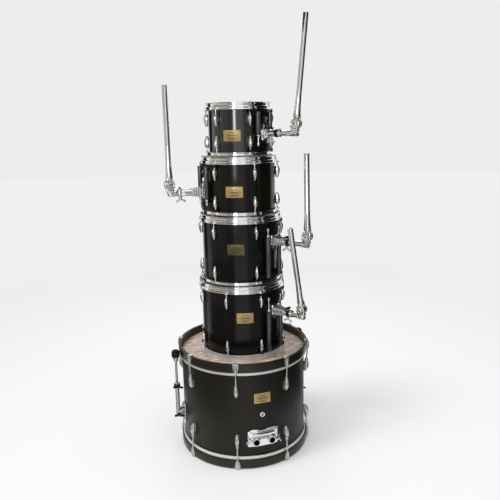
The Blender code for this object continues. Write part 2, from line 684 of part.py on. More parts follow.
def bass_hoop(azimuths, up):
    """Wood hoop with a claw and a tension rod at each lug. Height 0 is the bearing edge."""
    inner = BASS_HOOP_INSIDE
    outer = inner + WOOD_HOOP_THICKNESS
    edge = WOOD_HOOP_WIDTH - WOOD_HOOP_OVERLAP
    hoop = turned("hoop", at_plane([(outer, edge), (outer, -WOOD_HOOP_OVERLAP),
                                    (inner, -WOOD_HOOP_OVERLAP), (inner, edge)], 0, up),
                  BASS_SEGMENTS, ring=True)
    rod_at = BASS_RADIUS + BASS_ROD_STANDOFF
    claw_top = edge + CLAW_HOOK
    claw_foot = claw_top - CLAW_LENGTH
    lug_top = -(BASS_LUG_INSET - BASS_LUG_LENGTH / 2)
    back = outer - CLAW_SINK
    front = back + CLAW_DEPTH
    reach = outer - CLAW_HOOK_REACH
    side_view = [(reach, claw_top), (front, claw_top), (front, claw_foot), (back, claw_foot),
                 (back, edge - LAP), (reach, edge - LAP)]
    claw = transform(flat_outline("claw", side_view, CLAW_WIDTH), Matrix.Rotation(math.pi / 2, 4, 'X'))
    for vert in claw.data.vertices:
        if vert.co.z < claw_foot + LAP:
            vert.co.y *= CLAW_TIP_WIDTH / CLAW_WIDTH
    rod = cylinder("rod", (rod_at, 0, lug_top + GAP), (rod_at, 0, claw_foot + ROD_IN_CLAW),
                   BASS_ROD_RADIUS, THIN)
    fuse(claw, rod)
    if up < 0:
        transform(claw, Matrix.Rotation(math.pi, 4, 'X'))
    claws = repeated("claws", claw, [facing(azimuth) for azimuth in azimuths])
    return fuse(hoop, claws)


def socket_angle():
    return math.degrees(SOCKET_SPREAD / BASS_RADIUS)


def socket_bore(side):
    """A bore along a socket's axis, long enough to pass through the shell's wall."""
    hole = bore((BASS_RADIUS - 3 * BASS_WALL, 0, 0), (BASS_RADIUS + 2 * SOCKET_REACH, 0, 0),
                TUBE_RADIUS)
    return transform(hole, Matrix.Rotation(math.radians(side * socket_angle()), 4, 'Z'))


def tom_bracket():
    """Cast bracket on the bass shell with two sockets. Its origin is level with the sockets."""
    half = math.degrees(BRACKET_HALF_WIDTH / BASS_RADIUS)
    low = -BRACKET_TALL / 2 + SOCKET_DROP
    angles = [half * (2 * i / BRACKET_STEPS - 1) for i in range(BRACKET_STEPS + 1)]
    inner = (BASS_RADIUS + GAP) / math.cos(math.radians(half / BRACKET_STEPS))
    body = bent_sheet("base", angles, [low, low + BRACKET_TALL], [range(BRACKET_STEPS)], inner,
                      BRACKET_THICKNESS)
    for side in (-1, 1):
        turn = Matrix.Rotation(math.radians(side * socket_angle()), 4, 'Z')
        barrel = cylinder("barrel", (BASS_RADIUS + SOCKET_ROOT, 0, 0),
                          (BASS_RADIUS + SOCKET_REACH, 0, 0), SOCKET_RADIUS)
        bolt_at = BASS_RADIUS + SOCKET_BOLT_STANDOFF
        boss = cylinder("boss", (bolt_at, side * (TUBE_RADIUS + SOCKET_BOSS_ROOT), 0),
                        (bolt_at, side * (SOCKET_RADIUS + BOLT_BOSS_HEIGHT), 0), BOLT_BOSS_RADIUS, FINE)
        hole = bore((bolt_at, side * (TUBE_RADIUS - OVERSHOOT), 0),
                    (bolt_at, side * (SOCKET_RADIUS + BOLT_BOSS_HEIGHT + OVERSHOOT), 0), BOLT_RADIUS, FINE)
        fuse(body, transform(barrel, turn), transform(boss, turn))
        cut(body, socket_bore(side), transform(hole, turn))
    return body


def build_bass():
    azimuths = lug_azimuths(BASS_LUGS, 0)
    shell = shell_with_lugs(BASS_RADIUS, BASS_WALL, BASS_DEPTH, BASS_SEGMENTS, azimuths,
                            lug(BASS_LUG_LENGTH, BASS_LUG_HALF_WIDTH, BASS_LUG_HALF_DEPTH),
                            BASS_LUG_STANDOFF, BASS_LUG_INSET)
    socket_height = CLAW_HOOK + BRACKET_HEIGHT - SOCKET_DROP
    for side in (-1, 1):
        cut(shell, transform(socket_bore(side), shift(z=socket_height - FRONT_PLANE) @ facing(0)))
    finish(shell, "bass_shell", lacquer, shift(z=FRONT_PLANE))
    for up, height, side in ((-1, FRONT_PLANE, "front"), (1, BATTER_PLANE, "batter")):
        finish(bass_head(up), f"bass_{side}_head", film, shift(z=height))
        finish(bass_hoop(azimuths, up), f"bass_{side}_hoop", wood, shift(z=height))
    bracket_frame = shift(z=socket_height) @ facing(0)
    finish(tom_bracket(), "bass_tom_bracket", chrome, bracket_frame)
    for side, word in ((-1, "left"), (1, "right")):
        turn = Matrix.Rotation(math.radians(side * socket_angle()), 4, 'Z')
        outwards = Matrix.Rotation(math.radians(side * 90), 4, 'X')
        place = bracket_frame @ turn @ shift(x=BASS_RADIUS + SOCKET_BOLT_STANDOFF) @ outwards
        wing = wing_bolt(TUBE_RADIUS + 2 * GAP, SOCKET_RADIUS + BOLT_BOSS_HEIGHT + GAP,
                         SOCKET_WING_SPAN)
        transform(wing, Matrix.Rotation(math.pi / 2, 4, 'Z'))
        finish(wing, f"bass_bracket_wing_{word}", chrome, place)


def spur_bracket():
    """Base on the shell and two cheeks round the spur's foot. Its origin is the pivot."""
    back = -SPUR_STANDOFF + GAP
    base = box("base", (back, -SPUR_BASE_HALF_WIDTH, -SPUR_BASE_BELOW),
               (back + SPUR_BASE_THICKNESS, SPUR_BASE_HALF_WIDTH, SPUR_BASE_ABOVE))
    inner = SPUR_TUBE_RADIUS + GAP
    for side in (-1, 1):
        cheek = box("cheek", (back + LAP, min(side * inner, side * (inner + SPUR_CHEEK)),
                              -SPUR_CHEEK_TALL / 2),
                    (SPUR_TUBE_RADIUS, max(side * inner, side * (inner + SPUR_CHEEK)),
                     SPUR_CHEEK_TALL / 2))
        fuse(base, cheek)
    reach = inner + 2 * SPUR_CHEEK
    return cut(base, bore((0, -reach, 0), (0, reach, 0), PIVOT_RADIUS, FINE))


def spur_tube():
    """Outer tube along +Z from the pivot, with the clamp for the leg at its end."""
    end = SPUR_TUBE_LENGTH
    clamp = end - SPUR_CLAMP_LENGTH
    tube = turned("tube", [(0, end), (SPUR_CLAMP_RADIUS, end), (SPUR_CLAMP_RADIUS, clamp),
                           (SPUR_TUBE_RADIUS, clamp - SPUR_CLAMP_TAPER),
                           (SPUR_TUBE_RADIUS, -SPUR_TUBE_HEEL), (0, -SPUR_TUBE_HEEL)], ROUND)
    middle = end - SPUR_CLAMP_LENGTH / 2
    across = 2 * SPUR_TUBE_RADIUS
    return cut(tube, bore((0, 0, SPUR_BORE_START), (0, 0, end + OVERSHOOT), SPUR_LEG_RADIUS),
               bore((0, -across, 0), (0, across, 0), PIVOT_RADIUS, FINE),
               bore((0, 0, middle), (0, 2 * SPUR_CLAMP_RADIUS, middle), BOLT_RADIUS, FINE))


def spur_leg():
    """Inner leg with the cone that carries the foot. Its origin is the tube's clamp end."""
    cone = SPUR_LEG_SHOWN + SPUR_CONE_LENGTH
    tip = cone + SPUR_SPIGOT
    return turned("leg", [(0, tip), (SPUR_LEG_RADIUS, tip), (SPUR_LEG_RADIUS, cone),
                          (SPUR_CONE_RADIUS, cone), (SPUR_LEG_RADIUS, SPUR_LEG_SHOWN),
                          (SPUR_LEG_RADIUS, -SPUR_LEG_TUCKED), (0, -SPUR_LEG_TUCKED)], ROUND)


def spur_foot():
    """Rubber foot that slips over the leg's spigot. Its origin is its open end."""
    inside = SPUR_LEG_RADIUS + GAP
    return turned("foot", [(0, FOOT_HEIGHT), (FOOT_TIP_RADIUS, FOOT_HEIGHT),
                           (FOOT_RADIUS, FOOT_SHOULDER), (FOOT_RADIUS, 0), (inside, 0),
                           (inside, SPUR_SPIGOT), (0, SPUR_SPIGOT)], ROUND)


def pivot_bolt():
    """The spur's hinge pin, with wings on its outer end. It lies along -Z."""
    reach = SPUR_TUBE_RADIUS + GAP + SPUR_CHEEK + GAP
    bolt = wing_bolt(0, reach)
    pin = cylinder("pin", (0, 0, reach - 2 * GAP), (0, 0, -reach - LAP), PIVOT_RADIUS, FINE)
    return fuse(pin, bolt)


def build_spur(word, side, azimuth):
    turn = facing(azimuth)
    pivot = shift(z=CLAW_HOOK + SPUR_PIVOT_HEIGHT) @ turn @ shift(x=BASS_RADIUS + SPUR_STANDOFF)
    towards_viewer = Matrix.Rotation(math.radians(-side * 90), 4, 'X')
    clamp_end = pivot @ shift(z=SPUR_TUBE_LENGTH)
    name = f"spur_{word}"
    finish(spur_bracket(), name + "_bracket", chrome, pivot)
    tube = spur_tube()
    if side > 0:
        transform(tube, Matrix.Rotation(math.pi, 4, 'Z'))
    finish(tube, name + "_tube", chrome, pivot)
    finish(spur_leg(), name + "_leg", chrome, clamp_end)
    finish(spur_foot(), name + "_foot", rubber,
           clamp_end @ shift(z=SPUR_LEG_SHOWN + SPUR_CONE_LENGTH + GAP))
    finish(pivot_bolt(), name + "_pivot_bolt", black_steel, pivot @ towards_viewer)
    finish(wing_bolt(SPUR_LEG_RADIUS + 2 * GAP, SPUR_CLAMP_RADIUS + GAP), name + "_clamp_bolt",
           black_steel, clamp_end @ shift(z=-SPUR_CLAMP_LENGTH / 2) @ towards_viewer)


def centre_footprint():
    """Moves the whole pack so that its footprint's box is centred on the origin."""
    bpy.context.view_layer.update()
    corners = [obj.matrix_world @ vert.co for obj in parts.objects if obj.type == 'MESH'
               for vert in obj.data.vertices]
    for axis in (0, 1):
        values = [corner[axis] for corner in corners]
        frame.location[axis] -= (min(values) + max(values)) / 2
    bpy.context.view_layer.update()


clear_scene()
parts = bpy.data.collections.new("drum_shell_pack")
bpy.context.scene.collection.children.link(parts)
frame = bpy.data.objects.new("pack_frame", None)
parts.objects.link(frame)

lacquer = make_material("black lacquer", (0.012, 0.011, 0.010), 0.2, 0.0)
film = make_material("drum head film", (0.52, 0.37, 0.29), 0.35, 0.0)
chrome = make_material("chromed steel", (0.75, 0.75, 0.75), 0.12, 1.0)
black_steel = make_material("black powder coat", (0.02, 0.02, 0.02), 0.35, 0.6)
wood = make_material("dark stained hoop", (0.024, 0.020, 0.013), 0.3, 0.0)
rubber = make_material("black rubber", (0.015, 0.015, 0.015), 0.7, 0.0)

build_bass()
build_spur("left", -1, SPUR_LEFT_AZIMUTH)
build_spur("right", 1, SPUR_RIGHT_AZIMUTH)
rest = BATTER_PLANE + FILM_TOP + GAP
for tom in TOMS:
    rest = build_tom(tom, rest)
centre_footprint()
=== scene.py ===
# %% [markdown]
# # A drum shell pack
# Five drums stand on each other: a bass drum on its front hoop, and four toms on its batter head.
# The pieces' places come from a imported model, the frame. This lesson gives each piece its fine shape
# and its finish. Everything is in metres, and heights run up along Z.

# %% Load the frame
import json
import math

import bpy
from mathutils import Matrix, Vector


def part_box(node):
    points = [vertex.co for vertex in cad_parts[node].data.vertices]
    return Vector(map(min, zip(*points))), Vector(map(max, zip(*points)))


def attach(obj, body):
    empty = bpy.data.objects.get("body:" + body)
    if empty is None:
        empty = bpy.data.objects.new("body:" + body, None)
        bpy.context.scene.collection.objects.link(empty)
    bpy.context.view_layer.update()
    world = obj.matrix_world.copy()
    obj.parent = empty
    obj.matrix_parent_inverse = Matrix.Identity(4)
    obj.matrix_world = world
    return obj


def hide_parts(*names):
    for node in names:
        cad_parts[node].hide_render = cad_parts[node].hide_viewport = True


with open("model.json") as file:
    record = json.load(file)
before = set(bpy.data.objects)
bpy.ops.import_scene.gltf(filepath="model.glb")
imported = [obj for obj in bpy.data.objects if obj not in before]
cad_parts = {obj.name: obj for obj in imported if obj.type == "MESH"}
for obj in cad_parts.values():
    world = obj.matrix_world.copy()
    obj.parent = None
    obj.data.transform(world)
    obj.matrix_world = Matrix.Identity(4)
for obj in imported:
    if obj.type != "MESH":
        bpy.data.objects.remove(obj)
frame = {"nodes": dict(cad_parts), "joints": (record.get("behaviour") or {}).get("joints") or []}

MM = 0.001
QUARTER_TURN = math.pi / 2
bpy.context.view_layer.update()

# %% [markdown]
# ## Where things are
# The drums share one upright axis. It is the middle of the bass drum's batter head. The joints of the
# frame give the places of the arms, the tilters and the wing bolts.

# %% The stack's axis and the joints
head_low, head_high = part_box("bass_batter_head")
AXIS = Vector(((head_low.x + head_high.x) / 2, (head_low.y + head_high.y) / 2, 0))
JOINTS = {joint["name"]: joint for joint in frame["joints"]}


def joint_point(name):
    return Vector(JOINTS[name]["pos_m"])


def joint_axis(name):
    return Vector(JOINTS[name]["axis"]).normalized()


def basis(x_axis, y_axis, origin):
    """A frame whose X and Y are the directions given."""
    columns = Matrix((x_axis, y_axis, x_axis.cross(y_axis))).transposed()
    return Matrix.Translation(origin) @ columns.to_4x4()


def facing(azimuth, height=0.0):
    """A frame on the stack's axis whose X points to an azimuth: 0 is the front and 90 the right."""
    turn = Matrix.Rotation(math.radians(azimuth - 90), 4, 'Z')
    return Matrix.Translation(AXIS + Vector((0, 0, height))) @ turn


def shift(x=0.0, y=0.0, z=0.0):
    return Matrix.Translation((x, y, z))


UP = Vector((0, 0, 1))
UPSIDE_DOWN = Matrix.Rotation(math.pi, 4, 'X')
UNTURNED = Matrix.Identity(4)
ON_EDGE = basis(Vector((0, 1, 0)), UP, Vector((0, 0, 0)))
LAID_ALONG_X = Matrix.Rotation(QUARTER_TURN, 4, 'Y')
STOOD_UP = Matrix.Rotation(QUARTER_TURN, 4, 'X')
print("stack's axis in mm:", [round(v / MM, 1) for v in AXIS])

# %% [markdown]
# ## A small set of tools
# Turned parts, plates, rods and blocks cover nearly every fitting of a drum. Each tool works as a
# person would: something simple is added, shaped in edit mode, and finished with modifiers.

# %% Selection
def activate(obj):
    """Selects one object and nothing else."""
    bpy.ops.object.select_all(action='DESELECT')
    obj.select_set(True)
    bpy.context.view_layer.objects.active = obj


# %% Draw a line
WELD = 0.01 * MM


def draw(name, points, closed=False):
    """Extrudes one point from place to place, as a pen draws a line."""
    bpy.ops.object.select_all(action='DESELECT')
    bpy.ops.mesh.primitive_circle_add(vertices=3, radius=MM, location=points[0])
    obj = bpy.context.object
    obj.name = name
    bpy.ops.object.transform_apply(location=True, rotation=False, scale=False)
    bpy.ops.object.mode_set(mode='EDIT')
    bpy.ops.mesh.select_all(action='SELECT')
    bpy.ops.mesh.merge(type='CENTER')
    route = [Vector(point) for point in points]
    if closed:
        route.append(route[0])
    for here, there in zip(route, route[1:]):
        bpy.ops.mesh.extrude_region_move(TRANSFORM_OT_translate={"value": there - here})
    bpy.ops.mesh.select_all(action='SELECT')
    bpy.ops.mesh.remove_doubles(threshold=WELD)
    bpy.ops.object.mode_set(mode='OBJECT')
    return obj


# %% Soften the edges
BEVEL_FROM, SMOOTH_BELOW = 28, 38


def soften(obj, width=0.0, segments=2):
    """Rounds the sharp edges, as casting and polishing do, and shades the rest smooth."""
    activate(obj)
    if width:
        bevel = obj.modifiers.new("soft edges", 'BEVEL')
        bevel.width = width
        bevel.segments = segments
        bevel.limit_method = 'ANGLE'
        bevel.angle_limit = math.radians(BEVEL_FROM)
        bpy.ops.object.modifier_apply(modifier=bevel.name)
    bpy.ops.object.shade_smooth_by_angle(angle=math.radians(SMOOTH_BELOW))
    return obj


# %% Turn an outline
DRUM_STEPS = 128
FITTING_STEPS = 32


def turned(name, outline, steps=FITTING_STEPS, ring=False, edge=0.0):
    """Spins an outline of (radius, height) points round Z, as on a lathe."""
    obj = draw(name, [(radius, 0, height) for radius, height in outline], closed=ring)
    activate(obj)
    bpy.ops.object.mode_set(mode='EDIT')
    bpy.ops.mesh.select_all(action='SELECT')
    bpy.ops.mesh.spin(steps=steps, angle=math.tau, center=(0, 0, 0), axis=(0, 0, 1))
    bpy.ops.mesh.select_all(action='SELECT')
    bpy.ops.mesh.remove_doubles(threshold=WELD)
    bpy.ops.mesh.normals_make_consistent(inside=False)
    bpy.ops.object.mode_set(mode='OBJECT')
    return soften(obj, edge)


# %% Cut a plate to an outline
def plate(name, outline, thickness, edge=0.0):
    """A flat plate in the XY plane that stands on height 0."""
    obj = draw(name, [(x, y, 0) for x, y in outline], closed=True)
    activate(obj)
    bpy.ops.object.mode_set(mode='EDIT')
    bpy.ops.mesh.select_all(action='SELECT')
    bpy.ops.mesh.edge_face_add()
    bpy.ops.mesh.extrude_region_move(TRANSFORM_OT_translate={"value": (0, 0, thickness)})
    bpy.ops.mesh.select_all(action='SELECT')
    bpy.ops.mesh.normals_make_consistent(inside=False)
    bpy.ops.object.mode_set(mode='OBJECT')
    return soften(obj, edge)


def rounded(corners, radius, steps=4):
    """Rounds the corners of an outline with short curves."""
    points = []
    for i, corner in enumerate(corners):
        corner = Vector(corner)
        before, after = Vector(corners[i - 1]), Vector(corners[(i + 1) % len(corners)])
        start = corner + (before - corner).normalized() * min(radius, (before - corner).length / 2)
        end = corner + (after - corner).normalized() * min(radius, (after - corner).length / 2)
        for k in range(steps + 1):
            t = k / steps
            points.append(tuple(start * (1 - t) ** 2 + corner * 2 * t * (1 - t) + end * t ** 2))
    return points


def rectangle(width, height, radius):
    half, tall = width / 2, height / 2
    return rounded([(-half, -tall), (half, -tall), (half, tall), (-half, tall)], radius)


# %% Rods and blocks
def rod(name, start, end, radius, sides=24, edge=0.4 * MM):
    start, end = Vector(start), Vector(end)
    along = end - start
    bpy.ops.object.select_all(action='DESELECT')
    bpy.ops.mesh.primitive_cylinder_add(vertices=sides, radius=radius, depth=along.length,
                                        location=(start + end) / 2,
                                        rotation=along.to_track_quat('Z', 'Y').to_euler())
    obj = bpy.context.object
    obj.name = name
    bpy.ops.object.transform_apply(location=True, rotation=True, scale=True)
    return soften(obj, edge)


def block(name, low, high, edge, top=1.0):
    """A block between two corners. Its top is drawn in where a casting tapers."""
    low, high = Vector(low), Vector(high)
    bpy.ops.object.select_all(action='DESELECT')
    bpy.ops.mesh.primitive_cube_add(size=1, location=(low + high) / 2, scale=high - low)
    obj = bpy.context.object
    obj.name = name
    bpy.ops.object.transform_apply(location=True, rotation=True, scale=True)
    middle = (low + high) / 2
    for vert in obj.data.vertices:
        if vert.co.z > middle.z:
            vert.co.x = middle.x + (vert.co.x - middle.x) * top
            vert.co.y = middle.y + (vert.co.y - middle.y) * top
    return soften(obj, edge, 3)


# %% Place, copy, join and cut
def place(obj, matrix):
    """Puts a finished shape where it belongs. The place goes into the mesh."""
    obj.data.transform(matrix)
    obj.data.update()
    return obj


def join(name, pieces):
    bpy.ops.object.select_all(action='DESELECT')
    for piece in pieces:
        piece.select_set(True)
    bpy.context.view_layer.objects.active = pieces[0]
    if len(pieces) > 1:
        bpy.ops.object.join()
    pieces[0].name = name
    pieces[0].data.name = name
    return pieces[0]


def twin(obj):
    """A copy with a mesh of its own."""
    made = obj.copy()
    made.data = obj.data.copy()
    bpy.context.scene.collection.objects.link(made)
    return made


def copies(name, pattern, places):
    """Copies a shape to each place and joins the copies into one piece. The pattern is used up."""
    made = [place(twin(pattern), matrix) for matrix in places]
    bpy.data.objects.remove(pattern, do_unlink=True)
    return join(name, made)


def cut(obj, cutter):
    boolean = obj.modifiers.new("cut", 'BOOLEAN')
    boolean.operation = 'DIFFERENCE'
    boolean.object = cutter
    activate(obj)
    bpy.ops.object.modifier_apply(modifier=boolean.name)
    bpy.data.objects.remove(cutter, do_unlink=True)
    return obj


# %% Bend a flat piece round a drum
def wrap(obj, radius, slice_width=6 * MM):
    """X becomes the way round the drum, Y the height and Z the distance from it."""
    activate(obj)
    reach = max(abs(vert.co.x) for vert in obj.data.vertices)
    count = int(reach / slice_width)
    bpy.ops.object.mode_set(mode='EDIT')
    for i in range(-count, count + 1):
        bpy.ops.mesh.select_all(action='SELECT')
        bpy.ops.mesh.bisect(plane_co=(i * slice_width, 0, 0), plane_no=(1, 0, 0))
    bpy.ops.object.mode_set(mode='OBJECT')
    for vert in obj.data.vertices:
        turn = vert.co.x / radius
        out = radius + vert.co.z
        vert.co = (out * math.cos(turn), out * math.sin(turn), vert.co.y)
    return soften(obj)


# %% Dress a piece
made_pieces = []


def dress(obj, material, body, slot, *nodes):
    """Gives a piece its finish and its body, and hides the frame's nodes that it stands for. Its slot is not
    used.
    """
    obj.data.materials.clear()
    obj.data.materials.append(material)
    for polygon in obj.data.polygons:
        polygon.material_index = 0
    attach(obj, body)
    if nodes:
        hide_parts(*nodes)
    made_pieces.append(obj)
    return obj


# %% [markdown]
# ## Finishes
# Each finish starts from what the real surface is. A noise that is drawn out along one direction gives
# grain, turning lines and the faint streaks of lacquer. Scales are sizes in millimetres, turned into
# repeats per metre.

# %% Colour and nodes
def colour(hex_code):
    """An sRGB hex value as the linear colour that the shader needs."""
    values = [int(hex_code[i:i + 2], 16) / 255 for i in (1, 3, 5)]
    linear = [v / 12.92 if v <= 0.04045 else ((v + 0.055) / 1.055) ** 2.4 for v in values]
    return (*linear, 1.0)


def node(tree, kind, inputs=None, **settings):
    """Adds a node with its settings. An input is a value or another node's output."""
    made = tree.nodes.new(kind)
    for key, value in settings.items():
        setattr(made, key, value)
    for key, value in (inputs or {}).items():
        if isinstance(value, bpy.types.NodeSocket):
            tree.links.new(value, made.inputs[key])
        else:
            made.inputs[key].default_value = value
    return made


def finish(name, metallic, coat=0.0, specular=0.5, ior=1.5):
    material = bpy.data.materials.new(name)
    material.use_nodes = True
    tree = material.node_tree
    shader = tree.nodes["Principled BSDF"]
    shader.inputs["Metallic"].default_value = metallic
    shader.inputs["Coat Weight"].default_value = coat
    shader.inputs["Coat Roughness"].default_value = 0.12
    shader.inputs["Specular IOR Level"].default_value = specular
    shader.inputs["IOR"].default_value = ior
    return material, tree, shader


def grain(tree, size, detail=3.0, distortion=0.0):
    """Noise on Object coordinates, whose features have the size given along X, Y and Z in mm."""
    where = node(tree, 'ShaderNodeTexCoord').outputs['Object']
    scale = tuple(1 / (s * MM) for s in size)
    mapped = node(tree, 'ShaderNodeMapping', {'Vector': where, 'Scale': scale}).outputs['Vector']
    return node(tree, 'ShaderNodeTexNoise', {'Vector': mapped, 'Scale': 1.0, 'Detail': detail,
                                             'Distortion': distortion}).outputs['Fac']


def tint(tree, fac, *stops):
    """A ramp from the hex colours given at their places."""
    ramp = node(tree, 'ShaderNodeValToRGB', {'Fac': fac})
    elements = ramp.color_ramp.elements
    while len(elements) < len(stops):
        elements.new(0.5)
    for element, (position, hex_code) in zip(elements, stops):
        element.position = position
        element.color = colour(hex_code)
    return ramp.outputs['Color']


def spread(tree, fac, low, high):
    """Stretches the middle of a noise over a range of values."""
    return node(tree, 'ShaderNodeMapRange', {'Value': fac, 'From Min': 0.3, 'From Max': 0.7,
                                             'To Min': low, 'To Max': high}).outputs['Result']


def relief(tree, shader, fac, depth):
    """A bump of the depth given in mm."""
    bump = node(tree, 'ShaderNodeBump', {'Height': fac, 'Distance': depth * MM, 'Strength': 1.0})
    tree.links.new(bump.outputs['Normal'], shader.inputs['Normal'])


def wire(tree, shader, **outputs):
    for key, output in outputs.items():
        tree.links.new(output, shader.inputs[key.replace('_', ' ')])


# %% [markdown]
# The shells are maple under black lacquer. The toms have a deep gloss, in which the room shows as
# upright streaks. The bass drum's lacquer is flatter and browner, and its grain just shows through.

# %% Lacquers
def lacquer(name, dark, light, rough, coat, specular, streak=(5, 5, 260)):
    material, tree, shader = finish(name, 0.0, coat, specular)
    fac = grain(tree, streak, 5.0, 0.3)
    wire(tree, shader, Base_Color=tint(tree, fac, (0.35, dark), (0.7, light)),
         Roughness=spread(tree, grain(tree, (40, 40, 40)), rough - 0.04, rough + 0.05))
    relief(tree, shader, grain(tree, (3, 3, 5), 1.0), 0.012)
    return material


tom_black = lacquer("gloss black lacquer on maple", "#0c0c0c", "#161514", 0.2, 0.1, 0.2)
tom_high_gloss = lacquer("high-gloss black lacquer on maple", "#0c0c0c", "#161514", 0.14, 0.9, 0.5)
tom_brown_black = lacquer("gloss brown-black lacquer on maple", "#110f0b", "#1d1811", 0.22, 0.1, 0.2)
bass_black = lacquer("satin black-brown lacquer on maple", "#181611", "#231f18", 0.4, 0.0, 0.24,
                     (60, 60, 4))
hoop_lacquer = lacquer("dark stained maple hoop, lacquered", "#1b1811", "#2c261a", 0.3, 0.1, 0.3,
                       (90, 90, 2.2))

# %% [markdown]
# Chrome is a mirror, so most of its look is what stands round it. Small changes of roughness, from
# handling, keep it from looking like a computer's mirror.

# %% Metals
def metal(name, dark, light, rough, size, depth=0.0, metallic=1.0):
    material, tree, shader = finish(name, metallic)
    fac = grain(tree, size, 4.0)
    wire(tree, shader, Base_Color=tint(tree, fac, (0.3, dark), (0.7, light)),
         Roughness=spread(tree, grain(tree, (25, 25, 25), 4.0), rough * 0.7, rough * 1.35))
    if depth:
        relief(tree, shader, fac, depth)
    return material


chrome = metal("polished chrome plate", "#e6e6e7", "#f7f7f7", 0.08, (30, 30, 30))
satin = metal("satin chrome plate", "#b2b2b0", "#cdcdcb", 0.24, (1.5, 1.5, 14), 0.01, 0.72)
aluminium = metal("turned aluminium flesh hoop", "#dcdcd8", "#ebebe7", 0.36, (60, 60, 0.9), 0.004, 0.35)
gold = metal("brushed brass badge", "#a98a55", "#d0b47e", 0.36, (18, 18, 0.8), 0.006, 0.35)
olive_gold = metal("aged brass badge", "#4c4228", "#76693f", 0.36, (18, 18, 0.8), 0.006, 0.35)
blue_grey = metal("satin grey anodised tube", "#505359", "#6b6e74", 0.28, (4, 4, 60), 0.0, 0.75)
pale_nickel = metal("matt nickel wing bolt", "#dededc", "#ececea", 0.3, (6, 6, 6), 0.0, 0.45)
# A paler, half-matt copy of the chrome for the 14 inch tom's lower hoop: its brightness is painted sheen,
# standing in for the light that the hoop mirrors.
pale_chrome_painted_sheen = metal("bright nickel-plated steel hoop", "#d6d6d4", "#e8e8e6", 0.16, (30, 30, 30), 0.0,
                     0.5)

# %% Black coat, rubber and plastics
def moulded(name, dark, light, rough, size, depth, specular=0.4):
    material, tree, shader = finish(name, 0.0, 0.0, specular)
    fac = grain(tree, size, 4.0)
    wire(tree, shader, Base_Color=tint(tree, fac, (0.3, dark), (0.7, light)),
         Roughness=spread(tree, fac, rough - 0.05, rough + 0.08))
    relief(tree, shader, fac, depth)
    return material


black_coat = moulded("satin black powder coat", "#090909", "#111112", 0.32, (0.9, 0.9, 0.9), 0.03, 0.25)
rubber = moulded("moulded black rubber", "#111111", "#1c1b1a", 0.62, (1.4, 1.4, 1.4), 0.06, 0.3)
enamel = moulded("black enamel inlay", "#1a1712", "#2b261d", 0.35, (2, 2, 2), 0.0, 0.3)
socket_nylon = moulded("black nylon bushing", "#050505", "#0a0a0a", 0.6, (3, 3, 3), 0.01, 0.15)

# %% [markdown]
# The batter head is frosted polyester film. Seen against what is under it, it is a warm beige, with
# long wavy streaks where the film is wiped and worn. The toms' heads are clear and look grey.

# %% Film
def film_finish(name, *stops):
    material, tree, shader = finish(name, 0.0, 0.1, 0.45)
    broad = grain(tree, (64, 24, 64), 5.0, 2.8)
    fine = grain(tree, (14, 5, 14), 5.0, 2.6)
    mixed = node(tree, 'ShaderNodeMix', {0: 0.35, 2: broad, 3: fine}).outputs[0]
    wire(tree, shader, Base_Color=tint(tree, mixed, *stops),
         Roughness=spread(tree, fine, 0.28, 0.5))
    relief(tree, shader, fine, 0.02)
    return material


film = film_finish("frosted polyester film", (0.37, "#8b7263"), (0.46, "#b79c8b"), (0.55, "#d0bbad"),
                   (0.64, "#f2e9e1"))
clear_film = film_finish("clear polyester film over a dark drum", (0.4, "#77726b"), (0.6, "#948f88"))
print("finishes:", len(bpy.data.materials))

# %% [markdown]
# ## The bass drum
# The bass drum lies on its front hoop. Its shell is a plain tube, with both bearing edges cut at 45
# degrees. It is turned from a closed outline.

# %% Bass shell
BASS = "bass"
shell_low, shell_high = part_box("bass_shell")
FRONT, BATTER = shell_low.z, shell_high.z
BASS_ENDS = (("front", FRONT, -1), ("batter", BATTER, 1))
BASS_RADIUS = 279.4 * MM
BASS_WALL = 8 * MM
EDGE_CUT = 4 * MM
SMALL_EDGE = 0.5 * MM


def shell(name, radius, wall, low, high, edge_cut):
    outline = [(radius, high - edge_cut / 2), (radius, low + edge_cut / 2),
               (radius - edge_cut / 2, low), (radius - wall, low + edge_cut),
               (radius - wall, high - edge_cut), (radius - edge_cut / 2, high)]
    return place(turned(name, outline, DRUM_STEPS, ring=True, edge=SMALL_EDGE), shift(*AXIS))


bass_shell = shell("bass_drum_shell", BASS_RADIUS, BASS_WALL, FRONT, BATTER, EDGE_CUT)

# %% [markdown]
# Holes come next: an air vent, and the two bores that let the tom holders' tubes pass inside.
# The frame's bracket wing bolts give the sockets' height.

# %% Vent and socket bores
SOCKET_Z = joint_point("bass_bracket_wing_left_turn").z
SOCKET_SPREAD = 32 * MM
SOCKET_TURN = math.degrees(SOCKET_SPREAD / BASS_RADIUS)
SOCKET_BORE = 11.5 * MM
VENT_Z = FRONT + 204.5 * MM
VENT_RADIUS = 12 * MM
VENT_HOLE = 5.5 * MM
INSIDE = BASS_RADIUS - 3 * BASS_WALL
OUTSIDE = BASS_RADIUS + 60 * MM


def socket_place(side):
    return facing(side * SOCKET_TURN, SOCKET_Z)


def drill(obj, radius, where):
    """Drills a round hole through the wall, along the X of the place given."""
    cut(obj, place(rod("drill", (INSIDE, 0, 0), (OUTSIDE, 0, 0), radius, edge=0), where))


for side in (-1, 1):
    drill(bass_shell, SOCKET_BORE, socket_place(side))
drill(bass_shell, VENT_HOLE, facing(0, VENT_Z))
soften(bass_shell)
dress(bass_shell, bass_black, BASS, "bass_lacquer", "bass_shell")

